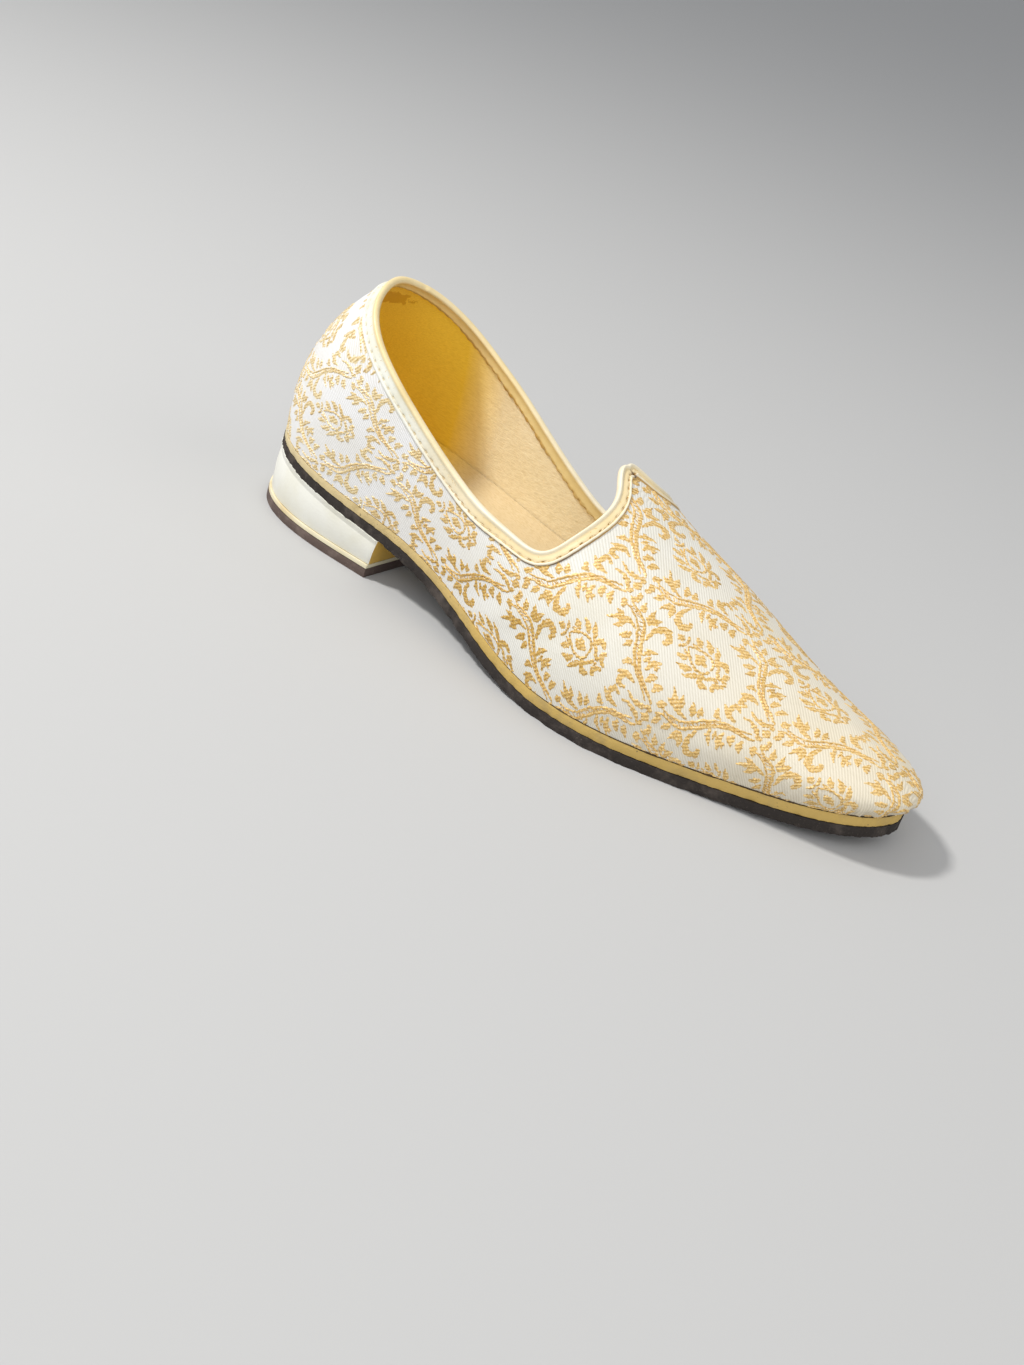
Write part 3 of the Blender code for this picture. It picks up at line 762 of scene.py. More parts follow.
class Graph:
    """Short way to write a material's nodes."""

    def __init__(self, name: str) -> None:
        """Starts a material with its Principled shader."""
        self.material = bpy.data.materials.new(name)
        self.material.use_nodes = True
        self.tree = self.material.node_tree
        self.shader = self.tree.nodes["Principled BSDF"]
        self.coordinate = self.tree.nodes.new("ShaderNodeTexCoord")

    def fill(self, node: bpy.types.Node, inputs: dict) -> None:
        """Joins or sets inputs of a node; a colour or a place is set as it is."""
        for name, value in inputs.items():
            if isinstance(value, Socket):
                self.tree.links.new(value, node.inputs[name])
            else:
                node.inputs[name].default_value = value

    def node(self, kind: str, result: str | int, inputs: dict, **options: str) -> Socket:
        """Adds one node.

        Args:
            kind: Type of the node.
            result: Name or number of the output that is wanted.
            inputs: Sockets or values by the inputs' names or numbers.
            options: Settings of the node.

        Returns:
            The output.
        """
        node = self.tree.nodes.new("ShaderNode" + kind)
        for name, value in options.items():
            setattr(node, name, value)
        self.fill(node, inputs)
        return node.outputs[result]

    def set(self, **values: float | Socket) -> None:
        """Sets or joins sockets of the shader; a name's underscores stand for spaces."""
        self.fill(self.shader, {name.replace("_", " "): value for name, value in values.items()})

    def own(self, uv: bool) -> Socket:
        """The piece's own coordinates or its flat ones."""
        return self.coordinate.outputs["UV" if uv else "Object"]

    def position(self, axis: str, uv: bool = False) -> Socket:
        """One axis of the piece's own coordinates or of its flat ones."""
        return self.node("SeparateXYZ", axis, {"Vector": self.own(uv)})

    def place(self, scale: Triple = (1.0, 1.0, 1.0), turn: Triple = (0.0, 0.0, 0.0),
              uv: bool = False) -> Socket:
        """Coordinates of the piece or of its cloth, turned and then scaled."""
        inputs = {"Rotation": turn, "Scale": scale, "Vector": self.own(uv)}
        return self.node("Mapping", "Vector", inputs, vector_type="POINT")

    def reach(self, middle: Triple, size: Triple) -> Socket:
        """Distance from a middle, counted in sizes of an oval."""
        inputs = {"Location": middle, "Scale": size, "Vector": self.own(False)}
        spot = self.node("Mapping", "Vector", inputs, vector_type="TEXTURE")
        return self.node("VectorMath", "Value", {0: spot}, operation="LENGTH")

    def noise(self, vector: Socket, scale: float = 1.0, detail: float = 3.0,
              roughness: float = 0.5) -> Socket:
        """Noise value from 0 to 1."""
        inputs = {"Scale": scale, "Detail": detail, "Roughness": roughness, "Vector": vector}
        return self.node("TexNoise", "Fac", inputs)

    def wave(self, vector: Socket, pitch: float, distortion: float) -> Socket:
        """Rounded stripes a pitch apart; at scale 1 the node has about 3.2 stripes a unit."""
        inputs = {"Scale": 1.0 / (STRIPES * pitch), "Distortion": distortion, "Vector": vector}
        return self.node("TexWave", "Fac", inputs, wave_type="BANDS", bands_direction="X")

    def cells(self, vector: Socket, scale: float) -> Socket:
        """Distance to the nearest of scattered points."""
        return self.node("TexVoronoi", "Distance", {"Scale": scale, "Vector": vector})

    def span(self, value: Socket, low: float, high: float, to_low: float = 0.0,
             to_high: float = 1.0) -> Socket:
        """Maps a range of values onto another, held at its ends."""
        return self.node("MapRange", "Result", {"From Min": low, "From Max": high, "To Min": to_low,
                                                "To Max": to_high, "Value": value})

    def maths(self, operation: str, first: Socket, second: Socket | float = 0.0) -> Socket:
        """Result of a sum on two values."""
        return self.node("Math", "Value", {0: first, 1: second}, operation=operation)

    def mix(self, share: Socket | float, first: Socket | Triple, second: Socket | Triple,
            blend: str = "MIX") -> Socket:
        """Mixed colour of two colours."""
        first, second = ((*c, 1.0) if isinstance(c, tuple) else c for c in (first, second))
        return self.node("Mix", 2, {"Factor": share, 6: first, 7: second}, data_type="RGBA", blend_type=blend)

    def ramp(self, value: Socket, *stops: tuple[float, Triple]) -> Socket:
        """Colours along a value."""
        colours = self.node("ValToRGB", "Color", {"Fac": value})
        elements = colours.node.color_ramp.elements
        while len(elements) < len(stops):
            elements.new(0.5)
        for element, (place, colour) in zip(elements, stops):
            element.position = place
            element.color = (*colour, 1.0)
        return colours

    def tinted(self, colour: Socket, value: Socket, *stops: tuple[float, Triple]) -> Socket:
        """Colour multiplied by a ramp along a value."""
        return self.mix(1.0, colour, self.ramp(value, *stops), "MULTIPLY")

    def relief(self, *layers: tuple[Socket, float, float]) -> None:
        """Bumps laid over one another, each as height, strength and distance."""
        below = {}
        for height, strength, distance in layers:
            inputs = {"Strength": strength, "Distance": distance, "Height": height, **below}
            below = {"Normal": self.node("Bump", "Normal", inputs)}
        self.fill(self.shader, below)


@dataclass(frozen=True)
class SatinGround:
    """Ivory satin of the brocade, cooler at the heel, creamier to the toe, with fine slanted threads."""

    heel: Triple = (0.80, 0.80, 0.815)
    vamp: Triple = (0.755, 0.745, 0.70)
    toe: Triple = (0.76, 0.69, 0.555)
    thread_pitch: float = 0.00096
    lean: float = 0.9

    def build(self) -> Finish:
        """Makes the material."""
        graph = Graph("ivory_satin")
        cloth = graph.place(uv=True)
        threads = graph.wave(graph.place(turn=(0.0, 0.0, self.lean), uv=True), self.thread_pitch, 0.6)
        slubs = graph.noise(graph.place((160.0, 1500.0, 1.0), (0.0, 0.0, self.lean), uv=True), 1.0, 2.0)
        cloud = graph.noise(cloth, 38.0, 3.0)
        along = graph.span(graph.position("X"), -0.03, 0.25)
        wash = graph.ramp(along, (0.25, self.heel), (0.55, self.vamp), (0.95, self.toe))
        wash = graph.tinted(wash, cloud, (0.30, (0.95, 0.93, 0.88)), (0.60, (1.0, 1.0, 1.0)))
        wash = graph.tinted(wash, slubs, (0.25, (0.96, 0.955, 0.94)), (0.60, (1.01, 1.01, 1.01)))
        graph.set(Base_Color=graph.tinted(wash, threads, (0.0, (0.89, 0.88, 0.84)),
                                          (0.7, (1.02, 1.02, 1.02))))
        graph.set(Roughness=graph.span(slubs, 0.2, 0.8, 0.55, 0.42))
        graph.set(Sheen_Weight=0.10, Sheen_Roughness=0.4, Specular_IOR_Level=0.4)
        graph.relief((slubs, 0.25, 0.0002), (threads, 0.6, 0.00014))
        return graph.material


@dataclass(frozen=True)
class GoldWeft:
    """Gold thread of the woven pattern, paler at the heel, with painted shade low on the sides round the
    waist and painted glints in small spots.
    """

    pale: Triple = (0.78, 0.635, 0.355)
    full: Triple = (0.78, 0.53, 0.19)
    # Deeper gold, used for random deeper patches and for the painted shade low on the sides round the waist.
    deep_and_shade: Triple = (0.56, 0.335, 0.050)
    warp: Triple = (0.80, 0.74, 0.60)
    thread_pitch: float = 0.00120
    lean: float = -0.7

    def build(self) -> Finish:
        """Makes the material."""
        graph = Graph("gold_weft")
        threads = graph.wave(graph.place(turn=(0.0, 0.0, self.lean), uv=True), self.thread_pitch, 0.8)
        glint_flecks = graph.noise(graph.place((1300.0, 1300.0, 1.0), uv=True), 1.0, 2.0)
        cloud = graph.noise(graph.place((60.0, 60.0, 1.0), uv=True), 1.0, 2.0)
        along = graph.span(graph.position("X"), -0.03, 0.25)
        base = graph.ramp(along, (0.20, self.pale), (0.50, self.full), (0.95, self.full))
        base = graph.mix(graph.span(cloud, 0.48, 0.75, 0.0, 0.5), base, self.deep_and_shade)
        # Painted shade: low down round the waist the gold is mixed towards the deeper tone, standing for
        # shade on faces turned from the light.
        low = graph.span(graph.position("Z"), 0.050, 0.030, 0.0, 0.9)
        ahead = graph.maths("SUBTRACT", graph.span(graph.position("X"), 0.03, 0.07),
                            graph.span(graph.position("X"), 0.12, 0.17))
        base = graph.mix(graph.maths("MULTIPLY", low, ahead), base, self.deep_and_shade)
        floats = graph.noise(graph.place((900.0, 4200.0, 1.0), (0.0, 0.0, self.lean), uv=True), 1.0, 1.0)
        base = graph.mix(graph.span(floats, 0.55, 0.64, 0.0, 0.50), base, self.warp)
        # Painted glints: the brightest spots whiten the gold like light caught on the thread; the darker
        # spots are uneven thread tone.
        base = graph.tinted(base, glint_flecks, (0.30, (0.70, 0.59, 0.40)), (0.50, (1.0, 1.0, 1.0)),
                            (0.70, (1.14, 1.26, 1.60)))
        graph.set(Base_Color=graph.tinted(base, threads, (0.0, (0.78, 0.70, 0.56)),
                                          (0.7, (1.05, 1.05, 1.05))))
        graph.set(Roughness=graph.span(glint_flecks, 0.3, 0.7, 0.50, 0.36))
        graph.set(Metallic=0.10, Sheen_Weight=0.05, Specular_IOR_Level=0.5)
        graph.relief((glint_flecks, 0.6, 0.0003), (threads, 0.6, 0.00016))
        return graph.material


@dataclass(frozen=True)
class NappedLining:
    """Golden lining, smooth round the heel and brushed to a pale nap in front; the heel part's deeper gold is
    partly painted shade, and a painted shadow darkens a patch at the back.
    """

    name: str
    # The back colour is the smooth heel lining's gold, made deeper and more saturated as painted shade; the
    # change between the colours lies where the shadow's edge falls.
    back: Triple
    front: Triple
    change: tuple[float, float] = (0.012, 0.034)
    # Colour, middle and size of a painted shadow patch at the back, under the binding's loose edge.
    stain_and_shadow: Triple = (0.70, 0.41, 0.012)
    shadow_patch_at: Triple = (-0.0128, 0.0055, 0.0865)
    shadow_patch_size: Triple = (0.009, 0.0105, 0.0042)

    def build(self) -> Finish:
        """Makes the material."""
        graph = Graph(self.name)
        place = graph.place()
        fibres = graph.noise(graph.place((420.0, 2300.0, 2300.0), (0.0, 0.5, 0.3)), 1.0, 3.0, 0.6)
        tufts = graph.noise(place, 330.0, 4.0, 0.6)
        cloud = graph.noise(place, 42.0, 3.0)
        # Partly painted shade: towards the heel the colour turns to the deeper back tone.
        along = graph.span(graph.position("X"), *self.change)
        base = graph.mix(along, self.back, self.front)
        base = graph.tinted(base, cloud, (0.30, (0.95, 0.93, 0.88)), (0.65, (1.02, 1.02, 1.03)))
        base = graph.tinted(base, fibres, (0.30, (0.93, 0.90, 0.84)), (0.62, (1.05, 1.06, 1.10)))
        # Painted shadow: a ragged dark patch on the lining at the back, under the binding's loose edge.
        reach = graph.reach(self.shadow_patch_at, self.shadow_patch_size)
        rough = graph.maths("ADD", reach, graph.maths("MULTIPLY", tufts, 1.35))
        graph.set(Base_Color=graph.mix(graph.span(rough, 1.54, 1.62, 0.90, 0.0), base, self.stain_and_shadow))
        graph.set(Roughness=graph.span(fibres, 0.3, 0.7, 0.92, 0.74))
        graph.set(Sheen_Weight=0.15, Sheen_Roughness=0.5, Specular_IOR_Level=0.2)
        nap = graph.maths("MULTIPLY", tufts, graph.span(along, 0.0, 1.0, 0.25, 1.0))
        graph.relief((nap, 0.45, 0.0006), (fibres, 0.45, 0.0003))
        return graph.material


@dataclass(frozen=True)
class CreamSkin:
    """Synthetic leather in a cream or off-white, with fine grain and light soiling."""

    name: str
    light: Triple
    soiled: Triple
    rough_low: float = 0.34
    rough_high: float = 0.52
    grain: float = 900.0
    coat: float = 0.08

    def graph(self) -> Graph:
        """Makes the skin with its grain."""
        graph = Graph(self.name)
        place = graph.place()
        pebbles = graph.cells(place, self.grain)
        creases = graph.noise(place, 260.0, 4.0)
        cloud = graph.noise(place, 70.0, 4.0)
        graph.set(Base_Color=graph.ramp(cloud, (0.28, self.soiled), (0.60, self.light)))
        graph.set(Roughness=graph.span(creases, 0.3, 0.7, self.rough_high, self.rough_low))
        graph.set(Coat_Weight=self.coat, Coat_Roughness=0.35, Specular_IOR_Level=0.45)
        graph.relief((creases, 0.15, 0.0003), (pebbles, 0.25, 0.00012))
        return graph

    def build(self) -> Finish:
        """Makes the material."""
        return self.graph().material


@dataclass(frozen=True)
class StripSkin(CreamSkin):
    """Skin of the collar's strip: nearly white outside at the heel, cream in front, with painted highlights
    on the bead and lip, painted golden reflection inside and on the bead at the heel, and painted shade in
    the needle holes, under the lips and in the crease at the throat's peak.
    """

    heel: Triple = (0.76, 0.76, 0.68)
    throat: Triple = (0.80, 0.655, 0.39)
    # Lip and bead in front are lighter than the leg as painted highlight on the raised rolls.
    lip_at_heel: Triple = (0.78, 0.78, 0.72)
    lip: Triple = (0.84, 0.77, 0.61)
    # The bead's tan-gold at the heel and the golden inside are painted reflection of the golden lining.
    bead_at_heel: Triple = (0.80, 0.66, 0.38)
    bead: Triple = (0.84, 0.77, 0.60)
    inside: Triple = (0.84, 0.67, 0.32)
    # Needle-hole colours: painted shade in the gaps between stitches.
    hole_shade_at_heel: Triple = (0.66, 0.58, 0.40)
    hole_shade: Triple = (0.40, 0.22, 0.05)
    # Dark and golden-brown tones: painted shade under the outer lip, along the inner leg's lower edge and in
    # the crease at the throat's peak.
    under: Triple = (0.13, 0.065, 0.02)
    shadow: Triple = (0.46, 0.25, 0.035)
    # Middle and size of the painted shade in the crease at the throat's peak.
    fold_shade_at: Triple = (0.1142, 0.0004, 0.0756)
    fold_shade_size: Triple = (0.0024, 0.0008, 0.0030)
    pitch: float = 0.0039
    seam: float = 0.0050

    def build(self) -> Finish:
        """Makes the material."""
        graph = self.graph()
        across = graph.position("Y", uv=True)
        front = graph.span(graph.position("X"), 0.035, 0.085)
        cloud = graph.noise(graph.place(), 90.0, 3.0)
        # Painted highlight: the lip and the bead are lighter cream than the leg, standing for light on these
        # raised rolls.
        lip = graph.mix(front, self.lip_at_heel, self.lip)
        leg = graph.mix(front, self.heel, self.throat)
        leg = graph.mix(graph.span(across, -0.0053, -0.0057), leg, lip)
        # Painted reflection: at the heel the bead is tan-gold, standing for light thrown on it by the golden
        # lining.
        bead = graph.mix(front, self.bead_at_heel, self.bead)
        leg = graph.mix(graph.span(across, -0.0022, -0.0012), leg, bead)
        # Painted reflection: the inner leg's golden colour stands for light thrown on it by the golden
        # lining.
        leg = graph.mix(graph.span(across, 0.0002, 0.0012), leg, self.inside)
        leg = graph.tinted(leg, cloud, (0.30, (0.93, 0.90, 0.82)), (0.60, (1.0, 1.0, 1.0)))
        # Painted shade: the gaps between stitches along the seam are darkened like shaded needle holes.
        phase = graph.maths("FRACT", graph.maths("DIVIDE", graph.position("X", uv=True), self.pitch))
        gap = graph.span(graph.maths("ABSOLUTE", graph.maths("SUBTRACT", phase, 0.5)), 0.30, 0.38)
        off = graph.maths("SUBTRACT", graph.maths("ABSOLUTE", across), self.seam)
        near = graph.span(graph.maths("ABSOLUTE", off), 0.00026, 0.00056, 1.0, 0.0)
        hole_shade = graph.mix(front, self.hole_shade_at_heel, self.hole_shade)
        leg = graph.mix(graph.maths("MULTIPLY", gap, near), leg, hole_shade)
        # Painted shade: the lower lip's underside in front is dark, golden-brown higher up, for the shade
        # under the lip.
        hem_shade = graph.maths("MULTIPLY", graph.span(across, -0.00647, -0.00652, 0.0, 0.9), front)
        high = graph.span(graph.position("Z"), 0.052, 0.064)
        leg = graph.mix(hem_shade, leg, graph.mix(high, self.under, self.shadow))
        # Painted shadow: a ragged golden-brown band along the inner leg's lower edge, stronger at the heel,
        # for the shadow under the loose edge.
        fringe_shadow = graph.noise(graph.place(), 420.0, 3.0)
        fringe_shadow = graph.maths("ADD", across, graph.maths("MULTIPLY", fringe_shadow, 0.0018))
        shaded = graph.span(graph.position("X"), 0.045, 0.085, 0.75, 0.30)
        fringe_shadow = graph.maths("MULTIPLY", graph.span(fringe_shadow, 0.0051, 0.0057), shaded)
        leg = graph.mix(fringe_shadow, leg, self.shadow)
        # Painted shade: a dark spot in the crease at the throat's peak.
        fold_shade = graph.reach(self.fold_shade_at, self.fold_shade_size)
        graph.set(Base_Color=graph.mix(graph.span(fold_shade, 0.6, 1.2, 0.9, 0.0), leg, self.under))
        return graph.material


@dataclass(frozen=True)
class TanFoam:
    """Tan sheet of the midsole, cut at its edge, with pores, specks and smears of glue."""

    front: Triple = (0.57, 0.39, 0.115)
    heel: Triple = (0.64, 0.54, 0.33)
    stain_and_shadow: Triple = (0.40, 0.29, 0.12)
    speck: Triple = (0.16, 0.11, 0.06)

    def build(self) -> Finish:
        """Makes the material."""
        graph = Graph("tan_foam")
        place = graph.place()
        cloud = graph.noise(place, 90.0, 4.0)
        pores = graph.cells(place, 950.0)
        specks = graph.noise(place, 620.0, 2.0)
        cuts = graph.noise(graph.place((120.0, 120.0, 2600.0)), 1.0, 2.0)
        along = graph.span(graph.position("X"), -0.03, 0.10)
        base = graph.mix(along, self.heel, self.front)
        base = graph.mix(graph.span(cloud, 0.56, 0.74, 0.0, 0.75), base, self.stain_and_shadow)
        graph.set(Base_Color=graph.mix(graph.span(specks, 0.70, 0.76, 0.0, 0.85), base, self.speck))
        graph.set(Roughness=graph.span(cloud, 0.3, 0.7, 0.72, 0.52))
        graph.set(Specular_IOR_Level=0.35)
        graph.relief((cuts, 0.35, 0.0003), (pores, 0.30, 0.0002))
        return graph.material


@dataclass(frozen=True)
class DarkRubber:
    """Black-brown sheet rubber with dust, scuffs and rough cut edges."""

    name: str
    dark: Triple
    dusty: Triple
    dust_from: float = 0.50

    def build(self) -> Finish:
        """Makes the material."""
        graph = Graph(self.name)
        place = graph.place()
        cloud = graph.noise(place, 120.0, 5.0, 0.6)
        grit = graph.noise(place, 1500.0, 2.0)
        cuts = graph.noise(graph.place((500.0, 500.0, 1600.0)), 1.0, 3.0)
        base = graph.mix(graph.span(cloud, self.dust_from, 0.78, 0.0, 0.7), self.dark, self.dusty)
        graph.set(Base_Color=graph.mix(graph.span(grit, 0.66, 0.74, 0.0, 0.5), base, self.dusty))
        graph.set(Roughness=graph.span(cloud, 0.3, 0.7, 0.70, 0.88))
        graph.set(Specular_IOR_Level=0.3)
        graph.relief((cuts, 0.5, 0.0004), (grit, 0.35, 0.00015))
        return graph.material


@dataclass(frozen=True)
class SewingThread:
    """Cream polyester thread."""

    tone: Triple = (0.72, 0.59, 0.37)
    shade: Triple = (0.46, 0.31, 0.13)
    heel: Triple = (0.74, 0.71, 0.58)
    twist_pitch: float = 1.0 / (600.0 * STRIPES)

    def build(self) -> Finish:
        """Makes the material."""
        graph = Graph("sewing_thread")
        place = graph.place()
        twist = graph.wave(graph.place(turn=(0.4, 0.3, 0.7)), self.twist_pitch, 1.0)
        front = graph.span(graph.position("X"), 0.020, 0.075)
        tan = graph.ramp(graph.noise(place, 800.0, 2.0), (0.35, self.shade), (0.60, self.tone))
        graph.set(Base_Color=graph.mix(front, self.heel, tan))
        graph.set(Roughness=graph.span(twist, 0.0, 1.0, 0.60, 0.45))
        graph.set(Sheen_Weight=0.2)
        graph.relief((twist, 0.5, 0.0001))
        return graph.material


@dataclass(frozen=True)
class Pucker:
    """Soft trough or ridge of the cloth, in the shoe's own sizes.

    A trough runs from one place to another on the cloth, given as distances from the back and up
    from the sole, and falls off over its width.
    """

    side: Side
    start: tuple[float, float]
    end: tuple[float, float]
    depth: float
    width: float


@dataclass
class Upper:
    """Hollow wall of brocade and lining, with its main creases."""

    last: Last
    plan: RibPlan
    cloth: ClothMap
    wall: float = 0.0012
    gather_from: float = 0.60
    gather_height: float = 0.0065
    gather_depth: float = 0.00048
    gather_fade: float = 0.15
    gather_pitch: float = 0.0062
    gather_drift: float = 0.0230
    gather_rim: float = 0.0012
    crown_fade: float = 0.04
    end_fades: tuple[float, float] = (0.05, 0.03)
    clear_of_ends: float = 0.004
    clear_of_crown: float = 0.985
    creases: tuple[Pucker, ...] = (
        Pucker(Side.OUTER, (0.150, 0.012), (0.178, 0.030), 0.0006, 0.0050),
        Pucker(Side.OUTER, (0.118, 0.004), (0.140, 0.020), 0.0007, 0.0060),
        Pucker(Side.OUTER, (0.132, 0.006), (0.152, 0.024), -0.0004, 0.0045),
        Pucker(Side.OUTER, (0.205, 0.010), (0.232, 0.016), 0.0004, 0.0040),
        Pucker(Side.INNER, (0.120, 0.004), (0.145, 0.022), 0.0007, 0.0060),
        Pucker(Side.INNER, (0.155, 0.010), (0.185, 0.026), 0.0005, 0.0050),
        Pucker(Side.INNER, (0.215, 0.008), (0.238, 0.015), 0.0004, 0.0040),
        Pucker(Side.OUTER, (0.018, 0.020), (0.030, 0.050), 0.0004, 0.0060),
        Pucker(Side.INNER, (0.018, 0.020), (0.030, 0.052), 0.0005, 0.0060),
    )
    skin: Piece | None = field(default=None, init=False)

    def offsets(self, side: Side, points: np.ndarray) -> np.ndarray:
        """How far the cloth stands out from the last at each point.

        Args:
            side: Side of the foot.
            points: Points of the face, ribs by rows.

        Returns:
            Distances along the outward direction.
        """
        height = points[..., 2] - points[:, :1, 2]
        out = np.zeros(height.shape)
        for crease in self.creases:
            if crease.side is not side:
                continue
            start, end = np.array(crease.start), np.array(crease.end)
            place = np.stack((points[..., 0], height), -1) - start
            run = end - start
            share = np.clip((place @ run) / (run @ run), 0.0, 1.0)
            miss = np.linalg.norm(place - share[..., None] * run, axis=-1)
            taper = np.sin(math.pi * (0.15 + 0.70 * share))
            out -= crease.depth * taper * hump(miss, 0.0, crease.width)
        along = points[:, :1, 0] / self.last.length
        fade = eased((along - self.gather_from) / self.gather_fade) * eased(1.2 - height / self.gather_height)
        walk = 2.0 * math.pi * walked(points[:, 0])[:, None]
        phase = walk / self.gather_pitch + 1.6 * np.sin(walk / self.gather_drift + side.value)
        wave = np.sin(phase) + 0.5 * np.sin(1.73 * phase + 0.8)
        return out + self.gather_depth * fade * eased(height / self.gather_rim) * wave

    def panel(self, side: Side) -> Piece:
        """One side of the cloth as a grid with the flat cloth's own coordinates."""
        turn, rise = self.plan.grid(side)
        points = self.last.face(side, turn, rise)
        clear = np.clip(turn, self.clear_of_ends, math.pi - self.clear_of_ends)
        outward = self.last.outward(side, clear, np.clip(rise, 0.0, self.clear_of_crown))
        at_heel, at_toe = self.end_fades
        settle = eased((1.0 - rise) / self.crown_fade)
        settle = settle * eased(turn / at_heel) * eased((math.pi - turn) / at_toe)
        points = points + outward * (self.offsets(side, points) * settle)[..., None]
        flat = self.cloth.flat(self.cloth.counts(side, turn, rise))
        return Bench.grid("panel_" + side.name.lower(), self.last.placed(points), flat)

    def build(self, cloth: Finish, lining: Finish) -> Piece:
        """Makes the wall: both panels joined, turned outward and given their thickness.

        Args:
            cloth: Material of the outer face.
            lining: Material of the inner face.

        Returns:
            The finished upper.
        """
        upper = Bench.join([self.panel(Side.OUTER), self.panel(Side.INNER)], "brocade_upper")
        Bench.weld(upper)
        Bench.outside(upper)
        if self.points_inward(upper):
            Bench.edit(upper, bpy.ops.mesh.flip_normals)
        self.skin = upper.copy()
        self.skin.data = upper.data.copy()
        for finish in (cloth, lining):
            upper.data.materials.append(finish)
        Bench.thicken(upper, self.wall, -1.0, Layer.LINING)
        return Bench.dress(upper, (), 60.0, "upper", "upper")

    @staticmethod
    def points_inward(piece: Piece) -> bool:
        """True if the open surface faces the foot."""
        low = min(piece.data.polygons, key=lambda face: face.center.y)
        return low.normal.y > 0.0


@dataclass(frozen=True)
class Stroke:
    """One stroke of the woven pattern, in half steps of the repeat.

    The widths are those at its root, belly and tip, and each span of its path is made in a few steps.
    """

    path: tuple[tuple[float, float], ...]
    widths: Triple
    samples: int = 5


FLOWER = (
    Stroke(((-0.200, 0.004), (-0.125, 0.070), (-0.060, 0.108), (0.010, 0.130), (0.070, 0.120), (0.115, 0.075),
            (0.130, 0.004)), (0.018, 0.026, 0.022)),
    Stroke(((-0.235, 0.004), (-0.240, 0.050), (-0.268, 0.100)), (0.026, 0.028, 0.020)),
    Stroke(((-0.080, 0.088), (-0.140, 0.078), (-0.205, 0.072)), (0.030, 0.034, 0.014)),
    Stroke(((-0.105, 0.122), (-0.160, 0.150), (-0.218, 0.190)), (0.030, 0.060, 0.020)),
    Stroke(((0.000, 0.160), (-0.060, 0.225), (-0.145, 0.262)), (0.030, 0.066, 0.018)),
    Stroke(((0.098, 0.150), (0.050, 0.230), (-0.020, 0.312)), (0.034, 0.050, 0.016)),
    Stroke(((0.118, 0.100), (0.130, 0.165), (0.170, 0.208), (0.215, 0.200), (0.238, 0.165)),
           (0.040, 0.055, 0.034)),
    Stroke(((0.150, 0.130), (0.190, 0.075), (0.236, 0.004)), (0.028, 0.030, 0.030)),
    Stroke(((0.305, 0.155), (0.270, 0.115), (0.290, 0.065), (0.350, 0.004)), (0.036, 0.050, 0.030)),
    Stroke(((0.252, 0.060), (0.262, 0.004)), (0.018, 0.022, 0.022)),
)
FLOWER_MIDDLE = (
    Stroke(((-0.095, 0.0), (-0.020, 0.0), (0.080, 0.0)), (0.016, 0.105, 0.040)),
    Stroke(((-0.360, 0.0), (-0.315, 0.0), (-0.268, 0.0)), (0.016, 0.072, 0.036)),
)
